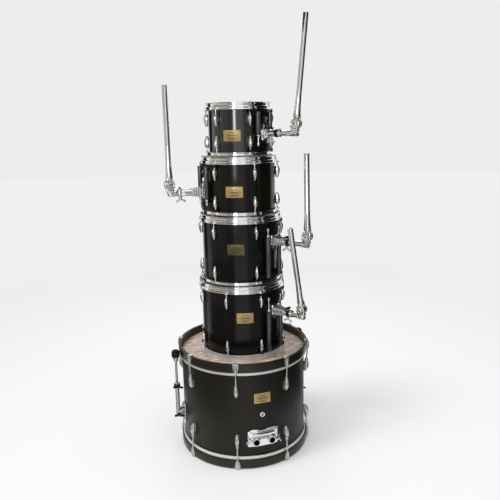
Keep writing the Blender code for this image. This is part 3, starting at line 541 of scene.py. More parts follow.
# %% Vent grommet
VENT_LIP = 2.2 * MM
grommet = turned("grommet", [(VENT_HOLE - MM, -3 * MM), (VENT_HOLE - MM, VENT_LIP),
                             (VENT_HOLE + 2 * MM, VENT_LIP * 1.3), (VENT_RADIUS - 2 * MM, VENT_LIP),
                             (VENT_RADIUS, 0), (VENT_RADIUS, -0.5 * MM), (VENT_HOLE, -3 * MM)],
                 ring=True, edge=0.3 * MM)
place(grommet, facing(0, VENT_Z) @ shift(x=BASS_RADIUS) @ LAID_ALONG_X)
grommet.name = "air_vent_grommet"
dress(grommet, chrome, BASS, "polished_chrome")

# %% [markdown]
# ## Lugs of the bass drum
# A lug is a cast chrome body that holds a swivelling nut. Near the hoop it has a slim neck, and its
# body swells and ends in a rounded cap. It is spun, then stretched away from the shell, because the
# real one is deeper than it is wide. Its far end leans to the shell.

# %% Bass lugs
BASS_LUG_COUNT = 8
BASS_LUG_INSET = 88 * MM
FRONT_LUG_SHIFT = 6 * MM
LUG_HALF = 35 * MM
BASS_LUG_STANDOFF = 12 * MM
BASS_LUG_DEPTH = 1.25


def lug_azimuths(count, middle=0.0):
    """Lugs evenly round a drum, with the azimuth given halfway between two of them."""
    return [middle + 360 / count * (i + 0.5) for i in range(count)]


LEAN_FROM, LEAN_OVER, LEAN_BY = 4 * MM, 33 * MM, 7 * MM
bass_lug = turned("lug", [(0, LUG_HALF), (4.6 * MM, LUG_HALF), (5.2 * MM, LUG_HALF - MM),
                          (5.2 * MM, 30 * MM), (6.4 * MM, 28.5 * MM), (6.8 * MM, 23 * MM),
                          (5.6 * MM, 20 * MM), (7.4 * MM, 16.5 * MM), (8.7 * MM, 12 * MM),
                          (9.3 * MM, 2 * MM), (8.9 * MM, -10 * MM), (7.7 * MM, -19 * MM),
                          (5.7 * MM, -25 * MM), (2.8 * MM, -28.2 * MM), (0, -29 * MM)], 40, edge=0.4 * MM)
place(bass_lug, Matrix.Diagonal((BASS_LUG_DEPTH, 1, 1, 1)))
for vert in bass_lug.data.vertices:
    vert.co.x -= LEAN_BY * max(0, (LEAN_FROM - vert.co.z) / LEAN_OVER) ** 1.5
foot_pad = place(plate("pad", rectangle(15 * MM, 38 * MM, 7 * MM), 2.4 * MM, 0.6 * MM),
                 shift(x=-BASS_LUG_STANDOFF, z=-6 * MM) @ ON_EDGE)
bass_lug = join("lug", [bass_lug, foot_pad])


def lug_places(count, middle, radius, standoff, low, high, inset, low_shift=0.0):
    places = []
    for azimuth in lug_azimuths(count, middle):
        places.append(facing(azimuth, high - inset) @ shift(x=radius + standoff))
        places.append(facing(azimuth, low + inset + low_shift) @ shift(x=radius + standoff)
                      @ UPSIDE_DOWN)
    return places


bass_lugs = copies("bass_drum_lugs", bass_lug,
                   lug_places(BASS_LUG_COUNT, 0, BASS_RADIUS, BASS_LUG_STANDOFF, FRONT, BATTER,
                              BASS_LUG_INSET, FRONT_LUG_SHIFT))
dress(bass_lugs, satin, BASS, "satin_chrome")
print("bass lugs:", BASS_LUG_COUNT * 2)

# %% [markdown]
# ## Heads of the bass drum
# A head is a film with a collar, whose rim is glued into a flesh hoop of aluminium. That hoop is the
# bright band between the wood hoop and the shell. Film and hoop have different finishes, so they are
# two pieces.

# %% Bass heads
BASS_COLLAR = 1.3 * MM
FILM_RISE = 1.1 * MM
WOOD_WIDTH = 38.5 * MM
WOOD_LAP = 4 * MM
WOOD_INSIDE = BASS_RADIUS + BASS_COLLAR + 0.3 * MM
WOOD_THICK = 12 * MM
BAND_WIDTH = 13.5 * MM
BAND_OUT = BASS_RADIUS + 7.3 * MM


def upright(obj, plane, up):
    """Stands a piece drawn for an upper end on either end of a drum."""
    return place(obj, shift(*AXIS) @ shift(z=plane) @ (UNTURNED if up > 0 else UPSIDE_DOWN))


def head_film(name, radius, collar_out, depth, crown):
    outline = [(0, FILM_RISE), (radius - 12 * MM, FILM_RISE), (radius - 3 * MM, crown),
               (radius - 0.2 * MM, crown - 0.4 * MM), (collar_out, -1.2 * MM), (collar_out, -depth),
               (collar_out - 0.8 * MM, -depth), (collar_out - 0.8 * MM, -1.2 * MM),
               (radius - MM, crown - 1.2 * MM), (radius - 12 * MM, FILM_RISE - 0.6 * MM),
               (0, FILM_RISE - 0.6 * MM)]
    return turned(name, outline, DRUM_STEPS)


for side, plane, up in BASS_ENDS:
    head = head_film(f"bass_drum_{side}_head_film", BASS_RADIUS, BASS_RADIUS + BASS_COLLAR, 12 * MM,
                     1.05 * MM)
    upright(head, plane, up)
    dress(head, film, BASS, "head_film", f"bass_{side}_head")
    top, foot = -WOOD_LAP - 0.3 * MM, -WOOD_LAP - 0.3 * MM - BAND_WIDTH
    band = turned(f"bass_drum_{side}_flesh_hoop",
                  [(BAND_OUT - MM, top), (BAND_OUT, top - MM), (BAND_OUT, foot + MM),
                   (BAND_OUT - MM, foot), (BASS_RADIUS + 1.5 * MM, foot),
                   (BASS_RADIUS + 1.5 * MM, top)], DRUM_STEPS, ring=True, edge=0.4 * MM)
    upright(band, plane, up)
    dress(band, aluminium, BASS, "satin_chrome")

# %% [markdown]
# ## Wood hoops and claws
# The wood hoop is bent from maple plies, and its corners are rounded. A claw hooks over it at each
# lug. The tension rod passes through the claw's boss, and its square head is turned with a drum key.

# %% Wood hoops
WOOD_EDGE = WOOD_WIDTH - WOOD_LAP
for side, plane, up in BASS_ENDS:
    outer = WOOD_INSIDE + WOOD_THICK
    hoop = turned(f"bass_drum_{side}_wood_hoop",
                  [(outer, WOOD_EDGE), (outer, -WOOD_LAP), (WOOD_INSIDE, -WOOD_LAP),
                   (WOOD_INSIDE, WOOD_EDGE)], DRUM_STEPS, ring=True, edge=2.4 * MM)
    upright(hoop, plane, up)
    dress(hoop, hoop_lacquer, BASS, "hoop_wood", f"bass_{side}_hoop")

# %% Claws and rods
CLAW_HOOK = 3.5 * MM
CLAW_LENGTH = 43 * MM
ROD_OUT = BASS_RADIUS + 17 * MM
claw_top = WOOD_EDGE + CLAW_HOOK
claw_foot = claw_top - CLAW_LENGTH
claw_back = WOOD_INSIDE + WOOD_THICK
claw_body = plate("claw", rounded([(-12.5 * MM, claw_top), (-11.5 * MM, claw_top - 22 * MM),
                                   (-6.4 * MM, claw_foot + 4 * MM), (-4.5 * MM, claw_foot),
                                   (4.5 * MM, claw_foot), (6.4 * MM, claw_foot + 4 * MM),
                                   (11.5 * MM, claw_top - 22 * MM), (12.5 * MM, claw_top)], 3 * MM),
                  3.6 * MM, 1.1 * MM)
place(claw_body, shift(x=claw_back - 0.2 * MM) @ ON_EDGE)
claw_lip = block("lip", (claw_back - 11 * MM, -12 * MM, claw_top - 3.4 * MM),
                 (claw_back + 3 * MM, 12 * MM, claw_top), 1.2 * MM)
claw_boss = turned("boss", [(0, claw_top - 9 * MM), (4.8 * MM, claw_top - 9 * MM),
                            (6.4 * MM, claw_top - 11 * MM), (7.4 * MM, claw_top - 24 * MM),
                            (6.6 * MM, claw_foot + 8 * MM), (4.6 * MM, claw_foot - 1.5 * MM),
                            (0, claw_foot - 1.5 * MM)], 24, edge=0.5 * MM)
place(claw_boss, shift(x=ROD_OUT))
rod_head = block("head", (ROD_OUT - 3.3 * MM, -3.3 * MM, claw_top - 9 * MM),
                 (ROD_OUT + 3.3 * MM, 3.3 * MM, claw_top - 2 * MM), 0.5 * MM)
lug_face = -(BASS_LUG_INSET - LUG_HALF)
tension_rod = rod("rod", (ROD_OUT - 5 * MM, 0, lug_face - 12 * MM), (ROD_OUT, 0, claw_foot + 2 * MM),
                  3 * MM)
washer = rod("washer", (ROD_OUT, 0, claw_top - 10.4 * MM), (ROD_OUT, 0, claw_top - 9 * MM), 6 * MM)
claw = join("claw", [claw_body, claw_lip, claw_boss, rod_head, tension_rod, washer])
for side, plane, up in BASS_ENDS:
    turn_over = UNTURNED if up > 0 else UPSIDE_DOWN
    claws = copies(f"bass_drum_{side}_claws", twin(claw),
                   [facing(azimuth, plane) @ turn_over for azimuth in lug_azimuths(BASS_LUG_COUNT)])
    dress(claws, satin, BASS, "satin_chrome")
bpy.data.objects.remove(claw, do_unlink=True)
print("claws:", BASS_LUG_COUNT * 2)

# %% [markdown]
# ## Wing bolts
# The same wing bolt clamps the arms, the tubes and the spurs. Its shaft is turned, and the wings are a
# plate with round ends. The wing bolts lie along -Z from a point on the axis of what they clamp.

# %% Wing bolt
def wing_bolt(name, start, seat, span, drop, thick=4 * MM):
    """Shaft from start to seat below the origin, then the hub and its wings."""
    hub = 9 * MM
    shaft = turned("shaft", [(0, -start), (2.6 * MM, -start), (3 * MM, -start - 0.5 * MM),
                             (3 * MM, -seat), (6.5 * MM, -seat), (6.5 * MM, -seat - 1.6 * MM),
                             (5 * MM, -seat - 2.4 * MM),
                             (5.6 * MM, -seat - hub + MM), (4.6 * MM, -seat - hub - MM),
                             (0, -seat - hub - 1.6 * MM)], 20, edge=0.3 * MM)
    half = span / 2
    side = [(0, -1.5 * MM), (3.5 * MM, 0), (half * 0.55, -drop * 0.28), (half * 0.86, -drop * 0.38),
            (half, -drop * 0.62), (half * 0.95, -drop * 0.9), (half * 0.74, -drop),
            (half * 0.5, -drop * 0.86), (half * 0.3, -drop * 0.56), (0, -drop * 0.48)]
    outline = side + [(-x, y) for x, y in side[-2:0:-1]]
    wings = plate("wings", rounded(outline, 1.6 * MM, 2), thick, thick * 0.3)
    place(wings, shift(y=thick / 2, z=-seat - 2.7 * MM) @ STOOD_UP)
    return join(name, [shaft, wings])


# %% Screw heads
def screw_head(outline, where):
    """A small screw head that looks out from the drum."""
    return place(turned("screw", outline, 16), where @ LAID_ALONG_X)


# %% [markdown]
# ## The bass drum's tom bracket
# The bracket is one casting: a plate that follows the shell, a raised bar across it, and two sockets
# with black bushings. Each layer starts flat, with round corners, and is bent round the drum. It is
# drilled before it is joined to the others.

# %% Bracket plate
BRACKET_MID = 9 * MM
LOBED = ((-66, -38), (66, -38), (66, 38), (58, 42), (16, 41), (8, 36), (-14, 35), (-20, 40), (-50, 41),
         (-58, 35), (-66, 32))


def bracket_layer(name, outline, thickness, edge, height, drilled=True):
    """A layer of the casting, bent round the shell and drilled for the two sockets."""
    flat = place(plate(name, outline, thickness, edge), shift(y=height, z=0.3 * MM))
    layer = place(wrap(flat, BASS_RADIUS), facing(0, SOCKET_Z))
    if drilled:
        for side in (-1, 1):
            drill(layer, SOCKET_BORE, socket_place(side))
    return soften(layer)


lobed = rounded([(x * MM, y * MM) for x, y in LOBED], 5 * MM)
layers = [bracket_layer("base", lobed, 4.5 * MM, 1.4 * MM, BRACKET_MID),
          bracket_layer("rim", rectangle(116 * MM, 58 * MM, 10 * MM), 8 * MM, 1.8 * MM, BRACKET_MID),
          bracket_layer("bar", rectangle(110 * MM, 36 * MM, 10 * MM), 15 * MM, 3 * MM, 0),
          bracket_layer("visor", rectangle(94 * MM, 9 * MM, 3.5 * MM), 18 * MM, 2.4 * MM, 30 * MM, False)]

# %% Bracket sockets
SOCKET_REACH = 25 * MM
face = BASS_RADIUS + SOCKET_REACH
boss_out = BASS_RADIUS + 20.5 * MM
sockets, bushings = [], []
for side in (-1, 1):
    barrel = turned("barrel", [(SOCKET_BORE, BASS_RADIUS + 2 * MM), (SOCKET_BORE, face), (17 * MM, face),
                               (18.2 * MM, BASS_RADIUS + 22 * MM), (18.8 * MM, BASS_RADIUS + 15 * MM),
                               (21 * MM, BASS_RADIUS + 12 * MM), (21 * MM, BASS_RADIUS + 2 * MM)],
                    48, ring=True, edge=0.8 * MM)
    place(barrel, socket_place(side) @ LAID_ALONG_X)
    boss = rod("boss", (boss_out, side * 15 * MM, 0), (boss_out, side * 26 * MM, 0), 7 * MM, edge=0.8 * MM)
    place(boss, socket_place(side))
    pin = rod("pin", (BASS_RADIUS + 16 * MM, 0, 19 * MM), (BASS_RADIUS + 20 * MM, 0, 23.5 * MM),
              3.2 * MM, 6)
    place(pin, socket_place(side))
    sockets += [barrel, boss, pin]
    bushing = turned("bushing", [(10 * MM, face - 16 * MM), (SOCKET_BORE - 0.2 * MM, face - 16 * MM),
                                 (SOCKET_BORE - 0.2 * MM, face + 0.2 * MM), (13.6 * MM, face + 0.2 * MM),
                                 (13.2 * MM, face + 1.4 * MM), (10.6 * MM, face + 1.6 * MM),
                                 (10 * MM, face + MM)],
                     40, ring=True, edge=0.2 * MM)
    bushings.append(place(bushing, socket_place(side) @ LAID_ALONG_X))
screws = []
for x in (-52 * MM, 52 * MM):
    for z in (-14 * MM, 38 * MM):
        where = facing(math.degrees(x / BASS_RADIUS), SOCKET_Z + z) @ shift(x=BASS_RADIUS + 8.2 * MM)
        screws.append(screw_head([(0, 2.4 * MM), (2.6 * MM, 2.2 * MM), (4.4 * MM, 0), (4.4 * MM, -MM),
                                  (0, -MM)], where))
bracket = join("bass_drum_tom_bracket", [*layers, *sockets, *screws])
dress(bracket, chrome, BASS, "satin_chrome", "bass_tom_bracket")
dress(join("bass_drum_bracket_bushings", bushings), socket_nylon, BASS, "black_coat")

# %% Bracket wing bolts
BRACKET_WING_TURN = 40
for side, word in ((-1, "left"), (1, "right")):
    name = f"bass_bracket_wing_{word}"
    outward = joint_axis(name + "_turn")
    bolt = wing_bolt(name + "_bolt", 11.7 * MM, 26.3 * MM, 32 * MM, 16 * MM)
    place(bolt, Matrix.Rotation(math.radians(BRACKET_WING_TURN), 4, 'Z'))
    place(bolt, basis(UP, outward.cross(UP), joint_point(name + "_turn")))
    dress(bolt, chrome, name, "satin_chrome", name)

# %% [markdown]
# ## Spurs
# A spur keeps the bass drum from creeping. Here each spur is folded up along the shell. It has a
# bracket with two cheeks, an outer tube, a leg that slides in it, and a rubber foot on a cone.

# %% Spur pieces
SPUR_OUT = 33.5 * MM
TUBE_END = 146 * MM
LEG_SHOWN = 99 * MM
CONE = 27 * MM
SPUR_WING_TURN = 10
SPUR_WING_SPAN, SPUR_WING_DROP, SPUR_WING_THICK = 46 * MM, 20 * MM, 7 * MM


def spur_bracket_shape(name):
    back = plate("back", rounded([(-20 * MM, -39 * MM), (20 * MM, -39 * MM), (20 * MM, 30 * MM),
                                  (12 * MM, 47 * MM), (-12 * MM, 47 * MM), (-20 * MM, 30 * MM)], 7 * MM),
                 6 * MM, 1.4 * MM)
    place(back, shift(x=-SPUR_OUT + 0.3 * MM) @ ON_EDGE)
    parts = [back]
    for side in (-1, 1):
        cheek = plate("cheek", rounded([(-SPUR_OUT + 2 * MM, -20 * MM), (4 * MM, -15 * MM),
                                        (9.5 * MM, -4 * MM), (9.5 * MM, 8 * MM), (0, 17 * MM),
                                        (-SPUR_OUT + 2 * MM, 22 * MM)],
                                       6 * MM), 5.5 * MM, 1 * MM)
        inner = 9.8 * MM if side > 0 else -15.3 * MM
        place(cheek, shift(y=inner + 5.5 * MM) @ STOOD_UP)
        parts.append(cheek)
        for height in (-32 * MM, 38 * MM):
            parts.append(screw_head([(0, 3 * MM), (3 * MM, 2.6 * MM), (4.8 * MM, 0), (0, 0)],
                                    shift(x=-SPUR_OUT + 6.2 * MM, y=side * 9 * MM, z=height)))
    return join(name, parts)


def spur_tube_shape(name):
    tube = turned("tube", [(0, TUBE_END), (5.9 * MM, TUBE_END), (11.6 * MM, TUBE_END),
                           (12.5 * MM, TUBE_END - MM), (12.5 * MM, TUBE_END - 19 * MM),
                           (9.5 * MM, TUBE_END - 22 * MM), (9.5 * MM, 28 * MM), (10.6 * MM, 26 * MM),
                           (10.6 * MM, 20 * MM), (9.5 * MM, 18 * MM), (9.5 * MM, -12 * MM),
                           (7.5 * MM, -14 * MM), (0, -14 * MM)], edge=0.4 * MM)
    boss_at = TUBE_END - 10 * MM
    boss = rod("boss", (0, 0, boss_at), (0, 14.5 * MM, boss_at), 7 * MM, edge=0.8 * MM)
    return join(name, [tube, boss])


def spur_clamp_shape(name):
    """The black sleeve round the tube's mouth, which the clamp bolt pulls tight."""
    return turned(name, [(12.7 * MM, TUBE_END - 2 * MM), (14.2 * MM, TUBE_END - 3 * MM),
                         (14.2 * MM, TUBE_END - 20 * MM), (12.7 * MM, TUBE_END - 21 * MM)], 40, ring=True,
                  edge=0.4 * MM)


def spur_leg_shape(name):
    cone_foot = LEG_SHOWN
    cone_top = LEG_SHOWN + CONE
    return turned(name, [(0, cone_top + 17 * MM), (5.4 * MM, cone_top + 17 * MM), (5.4 * MM, cone_top),
                          (14.5 * MM, cone_top), (14.8 * MM, cone_top - 3 * MM),
                         (9 * MM, cone_foot + 6 * MM),
                          (5.6 * MM, cone_foot), (5.4 * MM, cone_foot - MM), (5.4 * MM, -62 * MM),
                          (4.4 * MM, -65 * MM), (0, -65 * MM)], edge=0.3 * MM)


def spur_foot_shape(name):
    outline = [(0, 31 * MM), (7 * MM, 31 * MM), (12 * MM, 30 * MM)]
    for k in range(4):
        low = 23 * MM - k * 5 * MM
        outline += [(18.2 * MM, low), (18.5 * MM, low - MM), (18.5 * MM, low - 3 * MM),
                    (17.2 * MM, low - 3.8 * MM)]
    outline += [(18 * MM, 0.4 * MM), (5.9 * MM, 0.2 * MM), (5.9 * MM, 17.8 * MM), (0, 17.8 * MM)]
    return turned(name, outline, edge=0.4 * MM)


# %% Two spurs
for side, word in ((-1, "left"), (1, "right")):
    name = f"spur_{word}"
    hinge = joint_axis(name + "_swing")
    pivot = basis(hinge.cross(UP), hinge, joint_point(name + "_swing"))
    bolt_side = 1 if joint_axis(name + "_pivot_bolt_turn").dot(hinge) < 0 else -1
    clamp_end = pivot @ shift(z=TUBE_END)
    dress(place(spur_bracket_shape(name + "_cheeks"), pivot), satin, BASS, "satin_chrome",
          name + "_bracket")
    turn = UNTURNED if bolt_side > 0 else Matrix.Rotation(math.pi, 4, 'Z')
    dress(place(spur_tube_shape(name + "_outer_tube"), pivot @ turn), satin, name + "_tube", "satin_chrome",
          name + "_tube")
    dress(place(spur_clamp_shape(name + "_clamp_sleeve"), pivot), black_coat, name + "_tube",
          "black_coat")
    dress(place(spur_leg_shape(name + "_sliding_leg"), clamp_end), satin, name + "_leg", "satin_chrome",
          name + "_leg")
    foot_seat = clamp_end @ shift(z=LEG_SHOWN + CONE + 0.3 * MM)
    dress(place(spur_foot_shape(name + "_rubber_foot"), foot_seat), rubber, name + "_leg", "rubber",
          name + "_foot")
    for piece, start, seat in (("pivot_bolt", -9.5 * MM, 15.9 * MM), ("clamp_bolt", 6.1 * MM, 12.8 * MM)):
        along = joint_axis(f"{name}_{piece}_turn")
        bolt = wing_bolt(f"{name}_{piece}_wing", start, seat, SPUR_WING_SPAN, SPUR_WING_DROP,
                         SPUR_WING_THICK)
        place(bolt, Matrix.Rotation(math.radians(SPUR_WING_TURN), 4, 'Z'))
        place(bolt, basis(UP.cross(along), UP, joint_point(f"{name}_{piece}_turn")))
        dress(bolt, black_coat, f"{name}_{piece}", "black_coat", f"{name}_{piece}")
print("pieces so far:", len(made_pieces))

# %% [markdown]
# ## The toms
# The four toms are alike, so one set of functions makes them all. Each has a shell, lugs, two heads,
# two steel hoops with tension rods, a suspension mount, an arm clamp and a holder.

# %% What differs from tom to tom
class Tom:
    """Sizes of one tom. Heights come from the frame."""

    def __init__(self, name, inches, lugs, over, badge_azimuth, badge_rise, paint, badge):
        self.name, self.lugs, self.over = name, lugs, over
        self.radius = inches * 25.4 * MM / 2
        low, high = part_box(name + "_shell")
        self.low, self.high = low.z, high.z
        outward = joint_axis(name + "_arm_twist")
        self.azimuth = math.degrees(math.atan2(outward.x, -outward.y))
        self.arm_z = joint_point(name + "_arm_twist").z
        self.badge_azimuth, self.badge_rise = badge_azimuth, badge_rise
        self.paint, self.badge = paint, badge


TOMS = [
    Tom("tom14", 14, 8, False, -12.2, 180 * MM, tom_black, gold),
    Tom("tom13", 13, 6, False, -23.2, 155.5 * MM, tom_black, olive_gold),
    Tom("tom12", 12, 6, True, -24.3, 100 * MM, tom_brown_black, gold),
    Tom("tom10", 10, 6, True, -28.0, 83.5 * MM, tom_high_gloss, gold),
]

# %% Shells and lugs
TOM_WALL = 7.5 * MM
TOM_LUG_HALF = 26 * MM
TOM_LUG_INSET = 57 * MM
TOM_LUG_STANDOFF = 10.5 * MM
TOM_LUG_DEPTH = 1.5
for tom in TOMS:
    piece = shell(tom.name + "_drum_shell", tom.radius, TOM_WALL, tom.low, tom.high, EDGE_CUT)
    dress(piece, tom.paint, tom.name, "tom_lacquer", tom.name + "_shell")
    lug = turned("lug", [(0, TOM_LUG_HALF), (4 * MM, TOM_LUG_HALF), (4.4 * MM, TOM_LUG_HALF - MM),
                         (4.4 * MM, 22 * MM), (6.4 * MM, 20.5 * MM), (8 * MM, 15 * MM), (8.6 * MM, 8 * MM),
                         (8.2 * MM, 0), (6.8 * MM, -9 * MM), (5.2 * MM, -17 * MM), (3.8 * MM, -23 * MM),
                         (2 * MM, -25.6 * MM), (0, -TOM_LUG_HALF)], 32, edge=0.3 * MM)
    place(lug, Matrix.Diagonal((TOM_LUG_DEPTH, 1, 1, 1)))
    lugs = copies(tom.name + "_lugs", lug,
                  lug_places(tom.lugs, tom.azimuth, tom.radius, TOM_LUG_STANDOFF, tom.low, tom.high,
                             TOM_LUG_INSET))
    dress(lugs, chrome, tom.name, "polished_chrome")

# %% [markdown]
# A tom's hoop is pressed from one strip of steel in three flanges: a rim that turns outwards, a seat on
# the flesh hoop, and a skirt whose foot turns out into ears for the rods.

# %% Heads and hoops of the toms
COLLAR_OUT = 2.2 * MM
EAR_RADIUS = 8.4 * MM
ROD_AT = 12 * MM
SKIRT_FOOT = -16.5 * MM
LOW_HOOP_LEAN = 0.6 * MM


def tom_hoop_shape(tom, lean):
    """The flanged hoop with its rods. Its wall leans out at the seat by the distance given."""
    r = tom.radius
    section = [(r + 9.4 * MM, 12.5 * MM), (r + 10 * MM, 11.6 * MM), (r + 9.6 * MM, 10.2 * MM),
               (r + 6.2 * MM, 9.6 * MM), (r + 4.9 * MM, 8 * MM), (r + 4.9 * MM, 0),
               (r + 5.6 * MM, -1.6 * MM), (r + 8.2 * MM, -1.7 * MM), (r + 9.4 * MM + lean, -2.6 * MM),
               (r + 10.3 * MM + lean, -4.4 * MM), (r + 10.5 * MM, -7.4 * MM),
               (r + 10.3 * MM - lean, -10.4 * MM), (r + 9.7 * MM - lean, -12.4 * MM),
               (r + 10.6 * MM, -14 * MM), (r + 12.6 * MM, -14.3 * MM), (r + 12.6 * MM, SKIRT_FOOT),
               (r + 8.6 * MM, SKIRT_FOOT), (r + 7.4 * MM, -15 * MM), (r + 7.4 * MM, -4 * MM),
               (r + 2.5 * MM, -4 * MM), (r + 2.5 * MM, 12 * MM), (r + 3.2 * MM, 12.5 * MM)]
    hoop = turned("hoop", section, DRUM_STEPS, ring=True, edge=0.5 * MM)
    out = r + ROD_AT
    ear = turned("ear", [(3.2 * MM, SKIRT_FOOT + 3 * MM), (EAR_RADIUS - MM, SKIRT_FOOT + 3 * MM),
                         (EAR_RADIUS, SKIRT_FOOT + 2 * MM), (EAR_RADIUS, SKIRT_FOOT),
                         (3.2 * MM, SKIRT_FOOT)], 24, ring=True, edge=0.4 * MM)
    washer = turned("washer", [(0, SKIRT_FOOT + 4.4 * MM), (5.6 * MM, SKIRT_FOOT + 4.4 * MM),
                               (6 * MM, SKIRT_FOOT + 3 * MM), (0, SKIRT_FOOT + 3 * MM)], 20)
    head = block("head", (-3.2 * MM, -3.2 * MM, SKIRT_FOOT + 4 * MM),
                 (3.2 * MM, 3.2 * MM, SKIRT_FOOT + 11 * MM), 0.5 * MM)
    shaft = rod("shaft", (0, 0, -(TOM_LUG_INSET - TOM_LUG_HALF) - 2 * MM), (0, 0, SKIRT_FOOT + 3 * MM),
                2.8 * MM)
    rods = join("rod", [ear, washer, head, shaft])
    around = [Matrix.Rotation(math.radians(azimuth - 90), 4, 'Z') @ shift(x=out)
              for azimuth in lug_azimuths(tom.lugs, tom.azimuth)]
    return hoop, copies("rods", rods, around)


for tom in TOMS:
    for plane, up in ((tom.low, -1), (tom.high, 1)):
        side = "batter" if (up > 0) != tom.over else "resonant"
        head = head_film(f"{tom.name}_{side}_head_film", tom.radius, tom.radius + COLLAR_OUT, 11 * MM, MM)
        dress(upright(head, plane, up), clear_film, tom.name, "head_film", f"{tom.name}_{side}_head")
        ring = turned(f"{tom.name}_{side}_flesh_hoop",
                      [(tom.radius + 6.8 * MM, -4.3 * MM), (tom.radius + 6.8 * MM, -13 * MM),
                       (tom.radius + 2.3 * MM, -13 * MM), (tom.radius + 2.3 * MM, -4.3 * MM)], DRUM_STEPS,
                      ring=True, edge=0.8 * MM)
        dress(upright(ring, plane, up), aluminium, tom.name, "satin_chrome")
        hoop, rods = tom_hoop_shape(tom, LOW_HOOP_LEAN if up < 0 else 0)
        if up < 0:
            # Turned over, the lugs' pattern has to be turned back to meet them.
            place(rods, Matrix.Diagonal((1, -1, 1, 1)))
            activate(rods)
            bpy.ops.object.mode_set(mode='EDIT')
            bpy.ops.mesh.select_all(action='SELECT')
            bpy.ops.mesh.normals_make_consistent(inside=False)
            bpy.ops.object.mode_set(mode='OBJECT')
        hoop = join(f"{tom.name}_{side}_steel_hoop", [hoop, rods])
        # The 14 inch tom's lower hoop is chrome like the others; its paler copy paints the reflected light.
        plating = pale_chrome_painted_sheen if tom.name == "tom14" and up < 0 else chrome
        dress(upright(hoop, plane, up), plating, tom.name, "polished_chrome", f"{tom.name}_{side}_hoop")

# %% [markdown]
# ## Suspension mounts
# The mount keeps the arm's weight off the shell. Two black plates hang on the tension rods, and two
# telescoping tubes join them. Each plate starts flat, as it leaves the press, and is then bent.

# %% Mount plates
PLATE_THICK = 4 * MM
PLATE_HEIGHT = 38 * MM
FOOT_HEIGHT = 26 * MM
STRIP = 9 * MM
TONGUE = 27 * MM
TONGUE_PAST_ARM = 44 * MM
HOOP_FOOT = 16.8 * MM
LUG_ROOM = 11.5 * MM
BOSS_HEIGHT = 11.5 * MM
GUIDE_SPREAD = 40 * MM
GUIDE_OUT = 17 * MM
COLLAR_INSET = {"tom14": 101 * MM, "tom13": 76 * MM, "tom12": 65 * MM, "tom10": 84 * MM}


def batter_edge(tom):
    return tom.low if tom.over else tom.high


def mount_place(tom):
    """Height 0 is the batter bearing edge, and the shell lies below it."""
    return facing(tom.azimuth, batter_edge(tom)) @ (UPSIDE_DOWN if tom.over else UNTURNED)


def mount_plates(tom):
    inner = tom.radius + ROD_AT - PLATE_THICK / 2
    half = math.pi / tom.lugs * inner
    wide = half - LUG_ROOM
    top, strip, low = -HOOP_FOOT - 0.6 * MM, -HOOP_FOOT - STRIP, -HOOP_FOOT - PLATE_HEIGHT
    tongue_foot = -abs(batter_edge(tom) - tom.arm_z) - TONGUE_PAST_ARM
    right = [(TONGUE, tongue_foot), (TONGUE, low), (wide, low), (wide, strip), (half, strip), (half, top)]
    outline = right + [(-x, y) for x, y in right[::-1]]
    main = wrap(plate("main", rounded(outline, 5 * MM), PLATE_THICK, 0.9 * MM), inner)
    depth = tom.high - tom.low
    foot_low, foot_strip = -depth + HOOP_FOOT + 0.6 * MM, -depth + HOOP_FOOT + STRIP
    foot_top = -depth + HOOP_FOOT + FOOT_HEIGHT
    right = [(half, foot_low), (half, foot_strip), (wide, foot_strip), (wide, foot_top)]
    outline = right + [(-x, y) for x, y in right[::-1]]
    foot = wrap(plate("foot", rounded(outline, 5 * MM), PLATE_THICK, 0.9 * MM), inner)
    rib = wrap(place(plate("rib", rectangle(2 * wide - 24 * MM, 7 * MM, 3 * MM), 2.4 * MM, 0.8 * MM),
                     shift(y=(strip + low) / 2 + 2 * MM, z=PLATE_THICK - 0.2 * MM)), inner)
    return join("plates", [main, foot, rib])


# %% Mount tubes, rods and grommets
def mount_guides(tom):
    depth = tom.high - tom.low
    collar = -COLLAR_INSET[tom.name]
    foot = -depth + HOOP_FOOT + 10 * MM
    low = -HOOP_FOOT - PLATE_HEIGHT
    tube = turned("tube", [(0, collar - 5 * MM), (8.6 * MM, collar - 5 * MM), (9.6 * MM, collar - 6 * MM),
                           (9.6 * MM, foot + MM), (8.6 * MM, foot), (0, foot)], edge=0.3 * MM)
    slim = turned("slim", [(0, low + 14 * MM), (5 * MM, low + 14 * MM), (5.4 * MM, low + 12 * MM),
                           (5.4 * MM, low + 2 * MM), (3 * MM, low), (3 * MM, collar - 4 * MM),
                           (0, collar - 4 * MM)], edge=0.3 * MM)
    ball = [(7.2 * MM * math.sin(t * math.pi / 12),
             7.2 * MM * math.cos(t * math.pi / 12)) for t in range(13)]
    knob = place(turned("ball", ball, 24), shift(z=collar + 2 * MM))
    angle = math.asin(GUIDE_SPREAD / (tom.radius + GUIDE_OUT))
    places = [Matrix.Rotation(side * angle, 4, 'Z') @ shift(x=tom.radius + GUIDE_OUT) for side in (-1, 1)]
    return copies("tubes", tube, places), copies("bright", join("bright", [slim, knob]), places)


def mount_bosses(tom):
    depth = tom.high - tom.low
    boss = turned("boss", [(3.1 * MM, 0), (7 * MM, 0), (8 * MM, MM), (8 * MM, BOSS_HEIGHT - MM),
                           (7 * MM, BOSS_HEIGHT),
                           (3.1 * MM, BOSS_HEIGHT)][::-1], 24, ring=True, edge=0.4 * MM)
    places = []
    for side in (-1, 1):
        turn = Matrix.Rotation(side * math.pi / tom.lugs, 4, 'Z') @ shift(x=tom.radius + ROD_AT)
        places.append(turn @ shift(z=-HOOP_FOOT - 0.3 * MM - BOSS_HEIGHT))
        places.append(turn @ shift(z=-depth + HOOP_FOOT + 0.3 * MM))
    return copies("bosses", boss, places)


